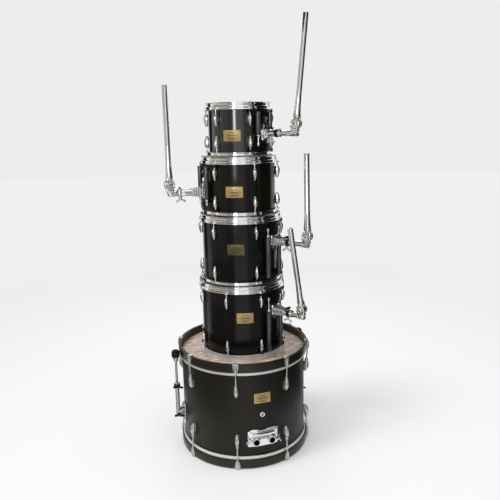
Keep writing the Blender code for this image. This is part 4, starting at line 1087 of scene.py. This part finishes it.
for tom in TOMS:
    where = mount_place(tom)
    plates = join(tom.name + "_mount_plates", [mount_plates(tom), mount_bosses(tom)])
    dress(place(plates, where), black_coat, tom.name, "black_coat", tom.name + "_mount_frame")
    tubes, bright = mount_guides(tom)
    tubes.name = tom.name + "_mount_tubes"
    bright.name = tom.name + "_mount_rods"
    dress(place(tubes, where), blue_grey, tom.name, "black_coat")
    dress(place(bright, where), chrome, tom.name, "polished_chrome")

# %% [markdown]
# ## Clamps and holders
# The clamp is a chrome casting on the mount. It grips a short tube, the arm. A tilter at the arm's end
# carries the long post: two toothed discs are pressed together by a bolt along their axis.

# %% Sizes along the arm
def extent(name, where):
    """Lowest and highest corner of a frame's node, in a frame of its own."""
    back = where.inverted()
    points = [back @ vert.co for vert in frame["nodes"][name].data.vertices]
    return (Vector([min(p[i] for p in points) for i in range(3)]),
            Vector([max(p[i] for p in points) for i in range(3)]))


def along_x(obj):
    """Lays a turned piece along X: its heights become distances from the drum's axis."""
    return place(obj, LAID_ALONG_X)


TUBE_RADIUS = 11.1 * MM
NECK = 14 * MM
CLAMP_COLLAR = 11 * MM
TILTER_RADIUS = 22 * MM
TILTER_HALF = 13 * MM


# %% Clamp casting
SHIELD = ((25, 28), (-25, 28), (-25, -14), (-9, -42), (9, -42), (25, -14))


def standing(obj, x):
    """Stands a flat plate across the arm, with its back at a distance from the drum's axis."""
    return place(obj, shift(x=x) @ ON_EDGE)


def clamp_shape(tom, where):
    """A shield-shaped base, a stepped horn, and a neck that the arm slides through."""
    low, high = extent(tom.name + "_clamp_bracket", where)
    start, end = low.x, high.x
    face = start + 8 * MM
    bolt_at = (where.inverted() @ joint_point(tom.name + "_wing_turn")).x
    down = -1 if tom.over else 1
    shield = [(y * MM, z * MM * down) for y, z in SHIELD]
    base = standing(plate("base", rounded(shield, 7 * MM), 6 * MM, 1.6 * MM), start)
    inner = standing(plate("inner", rounded([(y * 0.82, z * 0.82) for y, z in shield], 6 * MM),
                           3.4 * MM, 1.4 * MM),
                     start + 5.2 * MM)
    horn_end = min(bolt_at - 9 * MM, face + 48 * MM)
    steps = 3 if horn_end - face < 30 * MM else 5
    pitch = (horn_end - face) / steps
    horn = []
    for k in range(steps):
        share = k / steps
        wide = (48 * (1 - share) + 31 * share) * MM
        tall = (42 * (1 - share) + 31 * share) * MM
        step = plate("step", rectangle(wide, tall, 9 * MM), pitch * 0.62, min(1.6 * MM, pitch * 0.25))
        core = plate("core", rectangle(wide - 6 * MM, tall - 6 * MM, 7 * MM), pitch * 1.06)
        horn += [standing(step, face + pitch * k), standing(core, face + pitch * k)]
    neck = along_x(turned("neck", [(TUBE_RADIUS + 0.4 * MM, face), (NECK, face), (NECK, end - CLAMP_COLLAR),
                                   (TUBE_RADIUS + 0.4 * MM, end - CLAMP_COLLAR)], 40, ring=True,
                          edge=0.5 * MM))
    boss = turned("boss", [(4 * MM, 0), (7 * MM, 0), (7.8 * MM, -9 * MM), (7.2 * MM, -NECK - 5 * MM),
                           (3.2 * MM, -NECK - 5 * MM)], 24, ring=True, edge=0.5 * MM)
    place(boss, shift(x=bolt_at))
    top = turned("top", [(0, NECK + 4 * MM), (6 * MM, NECK + 4 * MM), (7.6 * MM, NECK + 3 * MM),
                         (7.8 * MM, 6 * MM), (0, 6 * MM)], 24, edge=0.5 * MM)
    place(top, shift(x=bolt_at))
    keys = []
    for side in (-1, 1):
        key = turned("key", [(0, 27 * MM), (2.6 * MM, 27 * MM), (2.8 * MM, 20 * MM), (5 * MM, 19 * MM),
                             (5 * MM, 8 * MM), (0, 8 * MM)], 20, edge=0.4 * MM)
        keys.append(place(key, shift(x=face + 11 * MM, z=4 * MM * down)
                          @ Matrix.Rotation(side * math.radians(58 if down > 0 else 122), 4, 'X')))
        for z in (22 * MM, -10 * MM):
            keys.append(screw_head([(0, 3 * MM), (2.6 * MM, 2.8 * MM), (4.2 * MM, 0), (0, 0)],
                                   shift(x=start + 6 * MM, y=side * 20 * MM, z=z * down)))
    return join(tom.name + "_clamp_casting", [base, inner, *horn, neck, boss, top, *keys])


def clamp_cap_shape(tom, where):
    """A cross bar over the bolt and a collar on the neck's mouth."""
    end = extent(tom.name + "_clamp_bracket", where)[1].x
    bolt_at = (where.inverted() @ joint_point(tom.name + "_wing_turn")).x
    half = 17 * MM
    bar = plate("bar", rounded([(-half, NECK + 9 * MM), (-half, NECK + 5 * MM), (-6 * MM, NECK + 3 * MM),
                                (6 * MM, NECK + 3 * MM), (half, NECK + 5 * MM), (half, NECK + 9 * MM),
                                (7 * MM, NECK + 12 * MM), (-7 * MM, NECK + 12 * MM)], 2 * MM),
                9 * MM, 1.4 * MM)
    place(bar, shift(x=bolt_at - 4.5 * MM) @ ON_EDGE)
    if tom.over:
        place(bar, shift(z=-MM))
    back = end - CLAMP_COLLAR + 0.2 * MM
    collar = along_x(turned("collar", [(TUBE_RADIUS + 0.3 * MM, back), (NECK + 1.2 * MM, back),
                                       (NECK + 2.2 * MM, back + 2 * MM), (NECK + 2.2 * MM, end - 2 * MM),
                                       (NECK + 0.8 * MM, end + 1.6 * MM),
                                       (TUBE_RADIUS + 0.3 * MM, end + 1.6 * MM)],
                            40, ring=True, edge=0.4 * MM))
    return join(tom.name + "_clamp_cap", [bar, collar])


# %% Tilter disc
def tilter_disc(side):
    """One toothed disc. Its flat face lies at the middle, and its outer face is a dished ring with a hub."""
    t = TILTER_HALF
    disc = turned("disc", [(0, t + 2 * MM), (3.4 * MM, t + 2 * MM), (4 * MM, t + 5 * MM),
                           (6.6 * MM, t + 5 * MM), (8.6 * MM, t + 3.4 * MM), (9.4 * MM, t - MM),
                           (11 * MM, t - 3.6 * MM), (15.6 * MM, t - 3.6 * MM), (17 * MM, t - 0.4 * MM),
                           (18.4 * MM, t + 0.4 * MM), (20.4 * MM, t - 0.6 * MM), (21.6 * MM, t - 3 * MM),
                           (TILTER_RADIUS, 5 * MM), (20.8 * MM, 3.6 * MM), (20.8 * MM, 0.3 * MM),
                           (0, 0.3 * MM)], 48, edge=0.3 * MM)
    return place(disc, Matrix.Rotation(-side * math.pi / 2, 4, 'X'))


def tilter_knob_shape(side):
    """The black knob on the far half, which tightens the tilter's bolt."""
    t = TILTER_HALF
    knob = turned("knob", [(0, t + 8 * MM), (4 * MM, t + 8 * MM), (8 * MM, t + 7.4 * MM),
                           (11 * MM, t + 5 * MM), (11.6 * MM, t + 1.4 * MM), (10.8 * MM, t + 0.4 * MM),
                           (0, t + 0.4 * MM)], 32, edge=0.4 * MM)
    return place(knob, Matrix.Rotation(-side * math.pi / 2, 4, 'X'))


def tilter_slot_shade_shape(side):
    """A black bar across the bolt's end on the near half: painted shade that stands in for the bolt's slot.
    """
    low, high = TILTER_HALF + 4.8 * MM, TILTER_HALF + 5.4 * MM
    slot = block("slot", (-4.6 * MM, -1.5 * MM, low), (4.6 * MM, 1.5 * MM, high), 0.2 * MM)
    place(slot, Matrix.Rotation(math.radians(35), 4, 'Z'))
    return place(slot, Matrix.Rotation(-side * math.pi / 2, 4, 'X'))


# %% Holder arm
ARM_PAST_TILTER = 8 * MM
ELBOW_SHOULDER = 8 * MM


def side_plate(name, outline, thickness, y, edge):
    """A plate that stands in the plane of the arm and the post, from y towards -Y."""
    return place(plate(name, outline, thickness, edge), shift(y=y) @ STOOD_UP)


def arm_shape(tom, where, tilter):
    """The sliding tube, its end casting, and the fixed half of the tilter on a slanting elbow."""
    start = extent(tom.name + "_holder_arm", where)[0].x
    at, rise = tilter.x, tilter.z
    end = at + ARM_PAST_TILTER
    clamp_end = extent(tom.name + "_clamp_bracket", where)[1].x
    tube = turned("tube", [(0, end), (10.4 * MM, end), (12.6 * MM, end - 1.4 * MM),
                           (13.5 * MM, end - 4 * MM), (13.5 * MM, at - 15 * MM), (12.6 * MM, at - 16 * MM),
                           (12.6 * MM, at - 18 * MM), (13.5 * MM, at - 19 * MM), (13.5 * MM, at - 25 * MM),
                           (12.4 * MM, at - 26 * MM), (TUBE_RADIUS, at - 27 * MM),
                           (TUBE_RADIUS, start + MM), (10.4 * MM, start), (0, start)],
                  40, edge=0.3 * MM)
    along_x(tube)
    parts = [tube]
    if at - 30 * MM - clamp_end > 16 * MM:
        lock = turned("lock", [(11.2 * MM, clamp_end + 13 * MM), (14.4 * MM, clamp_end + 13 * MM),
                               (15 * MM, clamp_end + 12 * MM), (15 * MM, clamp_end + 4 * MM),
                               (14.4 * MM, clamp_end + 3 * MM),
                               (11.2 * MM, clamp_end + 3 * MM)], 40, ring=True,
                      edge=0.4 * MM)
        parts.append(along_x(lock))
        parts.append(rod("key", (clamp_end + 8 * MM, -8 * MM, 12 * MM),
                         (clamp_end + 8 * MM, 4 * MM, 17 * MM), 2.6 * MM, 8))
    shoulder = rise - ELBOW_SHOULDER
    reach = math.sqrt(TILTER_RADIUS ** 2 - ELBOW_SHOULDER ** 2) - 0.4 * MM
    elbow = [(at - 17 * MM, 2 * MM), (at - 4 * MM, -8 * MM), (end - 0.5 * MM, -8 * MM), (end + 2 * MM, 0),
             (at + reach, shoulder), (at + reach - 3 * MM, shoulder + 6 * MM),
             (at - reach + 3 * MM, shoulder + 6 * MM), (at - reach, shoulder)]
    parts.append(side_plate("elbow", rounded(elbow, 3 * MM), 11.6 * MM, -0.8 * MM, 1.6 * MM))
    cheek = [(at - 15 * MM, 0), (end - MM, -4 * MM), (at + 14 * MM, rise - 24 * MM),
             (at - 14 * MM, rise - 24 * MM)]
    parts.append(side_plate("cheek", rounded(cheek, 3 * MM), 22 * MM, 11 * MM, 1.6 * MM))
    key = turned("key", [(0, 9 * MM), (2.4 * MM, 9 * MM), (2.6 * MM, 4 * MM), (5 * MM, 3.4 * MM),
                         (5 * MM, -3 * MM), (0, -3 * MM)], 16, edge=0.3 * MM)
    parts.append(place(key, shift(x=at - 17 * MM, y=-7 * MM, z=rise - 13 * MM)
                       @ Matrix.Rotation(math.radians(-78), 4, 'Y')))
    parts.append(place(tilter_disc(-1), shift(x=at, z=rise)))
    return join(tom.name + "_arm_tube", parts)


# %% Holder post
def post_shape(tom, length):
    wall = 2 * MM
    inside = TUBE_RADIUS - wall
    tube = turned("tube", [(0, 62 * MM), (inside, 62 * MM), (inside, length),
                           (TUBE_RADIUS - 0.4 * MM, length), (TUBE_RADIUS, length - 0.8 * MM),
                           (TUBE_RADIUS, 96 * MM), (TUBE_RADIUS + 0.6 * MM, 94 * MM),
                           (TUBE_RADIUS + 0.8 * MM, 72 * MM), (12.9 * MM, 54 * MM), (14.2 * MM, 40 * MM),
                           (14.8 * MM, 28 * MM), (13.2 * MM, 22 * MM), (0, 22 * MM)], 40, edge=0.3 * MM)
    key = rod("key", (0, 10 * MM, 82 * MM), (0, 16 * MM, 82 * MM), 2.6 * MM, 8)
    web = block("web", (-12.6 * MM, 0.8 * MM, -2 * MM), (12.6 * MM, 12.6 * MM, 32 * MM), 2 * MM, 0.94)
    return join(tom.name + "_post_tube", [tube, key, web, tilter_disc(1)])


# %% Fit the clamps and holders
for tom in TOMS:
    name = tom.name
    outward = joint_axis(name + "_arm_twist")
    pivot = joint_point(name + "_arm_twist")
    level = basis(outward, UP.cross(outward), pivot)
    tilt_axis = joint_axis(name + "_post_tilt")
    twisted = basis(outward, tilt_axis, pivot)
    dress(place(clamp_shape(tom, level), level), chrome, name, "polished_chrome", name + "_clamp_bracket")
    # The cap is black, except on the 12 inch tom, whose clamp is chrome all over.
    cap, cap_slot = (chrome, "polished_chrome") if name == "tom12" else (black_coat, "black_coat")
    dress(place(clamp_cap_shape(tom, level), level), cap, name, cap_slot)
    tilt_point = joint_point(name + "_post_tilt")
    arm = arm_shape(tom, twisted, twisted.inverted() @ tilt_point)
    dress(place(arm, twisted), chrome, name + "_arm", "polished_chrome", name + "_holder_arm")
    reach = [(vert.co - tilt_point) for vert in frame["nodes"][name + "_holder_post"].data.vertices]
    farthest = max(r.length for r in reach)
    mouth = [r for r in reach if r.length > farthest - 6 * MM]
    tip = sum(mouth, Vector()) / len(mouth)
    along = tip.normalized()
    post = post_shape(tom, tip.length)
    leaning = basis(tilt_axis.cross(along), tilt_axis, tilt_point)
    dress(place(post, leaning), chrome, name + "_post", "polished_chrome", name + "_holder_post")
    knob_side = -1 if name == "tom12" else 1
    tilter_bodies = {1: name + "_post", -1: name + "_arm"}
    # The knob is black for real; the slot trim is a black bar of painted shade.
    for shape, word, side in ((tilter_knob_shape, "knob", knob_side),
                              (tilter_slot_shade_shape, "slot", -knob_side)):
        trim = place(shape(side), leaning)
        trim.name = f"{name}_tilter_{word}"
        dress(trim, black_coat, tilter_bodies[side], "black_coat")
    bolt = wing_bolt(name + "_clamp_wing_bolt", 11.7 * MM, NECK + 5.3 * MM, 44 * MM, 18 * MM, 3.4 * MM)
    bolt_point = joint_point(name + "_wing_turn")
    dress(place(bolt, basis(outward, Vector((0, 0, 1)).cross(outward), bolt_point)),
          pale_nickel, name + "_wing", "satin_chrome", name + "_wing_bolt")

# %% [markdown]
# ## Badges
# Each shell has a thin brass plate that follows the shell's curve. It has no words: a raised border, an
# oval ring and a few plain bars of black enamel are all its pattern.

# %% Badges
BADGE_WIDTH, BADGE_HEIGHT = 72 * MM, 45 * MM
BADGE_BARS = ((0, 34, 3), (13, 24, 1.6), (-12.5, 40, 1.6), (-16, 26, 1.2))


def oval(half_width, half_height, corners=40):
    turns = [math.tau * k / corners for k in range(corners)]
    return [(half_width * math.cos(turn), half_height * math.sin(turn)) for turn in turns]


def badge(name, radius, azimuth, height, material, body):
    sheet_metal = plate("sheet", rectangle(BADGE_WIDTH, BADGE_HEIGHT, 2 * MM), 0.8 * MM, 0.2 * MM)
    frame_out = plate("border", rectangle(BADGE_WIDTH - 5 * MM, BADGE_HEIGHT - 5 * MM, 2 * MM),
                      1.3 * MM, 0.2 * MM)
    hollow = plate("hollow", rectangle(BADGE_WIDTH - 8 * MM, BADGE_HEIGHT - 8 * MM, 1.5 * MM), 3 * MM)
    cut(frame_out, place(hollow, shift(z=-MM)))
    made = wrap(join(name, [sheet_metal, frame_out]), radius + 0.1 * MM)
    dress(place(made, facing(azimuth, height)), material, body, "polished_chrome")
    ring = plate("ring", oval(25 * MM, 8.5 * MM), 1.2 * MM)
    marks = [cut(ring, place(plate("middle", oval(23.6 * MM, 7.1 * MM), 3 * MM), shift(z=-MM)))]
    for y, width, tall in BADGE_BARS:
        bar = plate("bar", rectangle(width * MM, tall * MM, 0.5 * MM), 1.2 * MM)
        marks.append(place(bar, shift(y=y * MM)))
    inlay = wrap(join(name + "_enamel", marks), radius + 0.1 * MM)
    dress(place(inlay, facing(azimuth, height)), enamel, body, "black_coat")


badge("bass_drum_badge", BASS_RADIUS, 0, FRONT + 279.5 * MM, gold, BASS)
for tom in TOMS:
    badge(tom.name + "_badge", tom.radius, tom.badge_azimuth, tom.low + tom.badge_rise, tom.badge, tom.name)
print("pieces:", len(made_pieces))

# %% [markdown]
# ## The stage
# The camera stands where the photographer stood, a little left of the bass drum's bracket. The floor
# and the room are pale, and the floor keeps the drums' shadow.

# %% Camera
CAMERA_DISTANCE = 2437 * MM
CAMERA_HEIGHT = 1426.5 * MM
CAMERA_AZIMUTH = -16
PITCH, YAW, ROLL = 12.289, 0.953, -1.0265
FOCAL_LENGTH, SENSOR_WIDTH = 40.41, 36
VIEW_END = 60
turn_right = math.radians(YAW)
pitch, roll = math.radians(PITCH), math.radians(ROLL)
forward = Vector((math.sin(turn_right) * math.cos(pitch), math.cos(turn_right) * math.cos(pitch),
                  -math.sin(pitch)))
right = Vector((math.cos(turn_right), -math.sin(turn_right), 0))
up = right.cross(forward)
tilted_right = right * math.cos(roll) + up * math.sin(roll)
tilted_up = up * math.cos(roll) - right * math.sin(roll)
look = Matrix((tilted_right, tilted_up, -forward)).transposed().to_4x4()
camera = bpy.data.objects.new("camera", bpy.data.cameras.new("camera"))
bpy.context.scene.collection.objects.link(camera)
camera.matrix_world = (shift(*AXIS) @ Matrix.Rotation(math.radians(CAMERA_AZIMUTH), 4, 'Z')
                       @ shift(y=-CAMERA_DISTANCE, z=CAMERA_HEIGHT) @ look)
camera.data.lens = FOCAL_LENGTH
camera.data.sensor_width = SENSOR_WIDTH
camera.data.clip_end = VIEW_END
bpy.context.scene.camera = camera

# %% Seen by the eye, by mirrors and through glass
def plainly_seen(tree):
    """1 for camera, glossy and transmission rays, and 0 for the rays that carry light."""
    rays = node(tree, 'ShaderNodeLightPath')
    seen = node(tree, 'ShaderNodeMath', {0: rays.outputs['Is Camera Ray'], 1: rays.outputs['Is Glossy Ray']},
                operation='MAXIMUM').outputs['Value']
    return node(tree, 'ShaderNodeMath', {0: seen, 1: rays.outputs['Is Transmission Ray']},
                operation='MAXIMUM').outputs['Value']


# %% Floor
FLOOR_RADIUS = 16
NEAR_FLOOR, FAR_FLOOR = 0.7, 3.8
NEAR_GLOW, FAR_GLOW = 0.18, 0.847
bpy.ops.object.select_all(action='DESELECT')
bpy.ops.mesh.primitive_circle_add(vertices=128, radius=FLOOR_RADIUS, fill_type='NGON', location=(0, 0, 0))
floor = bpy.context.object
floor.name = "studio_floor"
floor_paint, tree, shader = finish("pale studio floor", 0.0, 0.0, 0.1)
shader.inputs["Roughness"].default_value = 0.9
shader.inputs["Emission Color"].default_value = (1, 1, 1, 1)
on_floor = node(tree, 'ShaderNodeTexCoord').outputs['Object']
distance = node(tree, 'ShaderNodeVectorMath', {0: on_floor}, operation='LENGTH').outputs['Value']
away = node(tree, 'ShaderNodeMapRange', {'Value': distance, 'From Min': NEAR_FLOOR, 'From Max': FAR_FLOOR},
            interpolation_type='SMOOTHSTEP').outputs['Result']
tree.links.new(tint(tree, away, (0.0, "#dcdcdc"), (1.0, "#000000")), shader.inputs["Base Color"])
glow = node(tree, 'ShaderNodeMapRange', {'Value': away, 'To Min': NEAR_GLOW,
                                         'To Max': FAR_GLOW}).outputs['Result']
strength = node(tree, 'ShaderNodeMath', {0: glow, 1: plainly_seen(tree)},
                operation='MULTIPLY').outputs['Value']
tree.links.new(strength, shader.inputs["Emission Strength"])
floor.data.materials.append(floor_paint)

# %% Room
AMBIENT = 0.585
world = bpy.data.worlds.new("pale room")
bpy.context.scene.world = world
world.use_nodes = True
tree = world.node_tree
tree.nodes.clear()
backdrop = node(tree, 'ShaderNodeBackground', {'Color': colour("#ededed"),
                                               'Strength': 1.0}).outputs['Background']
ambient = node(tree, 'ShaderNodeBackground', {'Color': (1, 1, 1, 1),
                                              'Strength': AMBIENT}).outputs['Background']
mixed = node(tree, 'ShaderNodeMixShader', {0: plainly_seen(tree), 1: ambient, 2: backdrop}).outputs['Shader']
node(tree, 'ShaderNodeOutputWorld', {'Surface': mixed})

# %% [markdown]
# The set has cloth screens, with a carpet in front of each, and a dark ceiling. The camera doesn't see
# them and they take no light away. Only gloss and chrome mirror them: each sector of the room gives a
# chrome tube one of its upright stripes.

# %% Screens and carpets
SET_RADIUS, SET_HEIGHT = 3.4, 3.7
CARPET_INSIDE = 0.7
SET_SHEET = 20 * MM
CLOTHS = {"black": "#1c1c1c", "grey": "#9fa2a7", "silver": "#c6c8cb", "cream": "#fbf1e1", "brown": "#6a635a"}
SECTORS = ((-87, 58, "cream", "brown"), (-46, 22, "silver", "brown"), (18, 30, "silver", "grey"),
           (70, 72, "black", "black"), (146, 20, "black", "grey"), (172, 20, "grey", "grey"),
           (-148, 28, "black", "brown"))


def cloth(word):
    material, tree, shader = finish(word + " cloth", 0.0, 0.0, 0.0)
    shader.inputs["Base Color"].default_value = colour(CLOTHS[word])
    shader.inputs["Roughness"].default_value = 1.0
    return material


def only_mirrored(obj, material):
    obj.data.materials.append(material)
    for ray in ("camera", "diffuse", "shadow", "transmission", "volume_scatter"):
        setattr(obj, "visible_" + ray, False)


def sector_outline(width, steps=8):
    turns = [math.radians(width * (k / steps - 0.5)) for k in range(steps + 1)]
    outer = [(SET_RADIUS * math.cos(turn), SET_RADIUS * math.sin(turn)) for turn in turns]
    return outer + [(CARPET_INSIDE * math.cos(turn), CARPET_INSIDE * math.sin(turn)) for turn in turns[::-1]]


cloths = {word: cloth(word) for word in CLOTHS}
for azimuth, width, screen, carpet in SECTORS:
    lying = plate("carpet", sector_outline(width), 2 * MM)
    only_mirrored(place(lying, facing(azimuth, 2 * MM)), cloths[carpet])
    half = SET_RADIUS * math.tan(math.radians(width / 2))
    upright_sheet = block("screen", (SET_RADIUS, -half, SET_SHEET),
                          (SET_RADIUS + SET_SHEET, half, SET_HEIGHT), MM)
    only_mirrored(place(upright_sheet, facing(azimuth)), cloths[screen])
ceiling = turned("ceiling", [(0, SET_HEIGHT), (SET_RADIUS, SET_HEIGHT), (SET_RADIUS, SET_HEIGHT + SET_SHEET),
                             (0, SET_HEIGHT + SET_SHEET)], 48)
only_mirrored(place(ceiling, shift(*AXIS)), cloths["brown"])

# %% Lamps
def softbox(name, azimuth, distance, height, width, tall, power, target=0.85):
    lamp = bpy.data.lights.new(name, 'AREA')
    lamp.shape = 'RECTANGLE'
    lamp.size, lamp.size_y = width, tall
    lamp.energy = power
    obj = bpy.data.objects.new(name, lamp)
    bpy.context.scene.collection.objects.link(obj)
    at = facing(azimuth, height) @ Vector((distance, 0, 0))
    aim = AXIS + Vector((0, 0, target)) - at
    obj.matrix_world = Matrix.Translation(at) @ aim.to_track_quat('-Z', 'Y').to_matrix().to_4x4()
    return obj


def far_key(name, azimuth, elevation, energy, spread):
    """A large lamp so far away that the whole floor gets the same light. Mirrors don't show it."""
    lamp = bpy.data.lights.new(name, 'SUN')
    lamp.energy = energy
    lamp.angle = math.radians(spread)
    obj = bpy.data.objects.new(name, lamp)
    bpy.context.scene.collection.objects.link(obj)
    height = math.tan(math.radians(elevation))
    aim = AXIS - facing(azimuth, height) @ Vector((1, 0, 0))
    obj.matrix_world = aim.to_track_quat('-Z', 'Y').to_matrix().to_4x4()
    obj.visible_glossy = False
    return obj


far_key("key lamp", -80, 58, 1.1, 18)
softbox("strip softbox", -30, 3.1, 1.75, 0.42, 1.1, 13, 1.3)
softbox("rim softbox", 168, 3.0, 2.6, 1.4, 1.4, 14)
softbox("top softbox", -10, 0.6, 3.6, 2.0, 2.0, 24)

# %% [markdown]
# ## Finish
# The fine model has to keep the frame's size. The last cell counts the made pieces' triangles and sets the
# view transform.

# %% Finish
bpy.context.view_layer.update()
triangles = sum(len(polygon.vertices) - 2 for obj in made_pieces for polygon in obj.data.polygons)
print("pieces:", len(made_pieces), "triangles:", triangles)
scene = bpy.context.scene
scene.view_settings.view_transform = 'Standard'
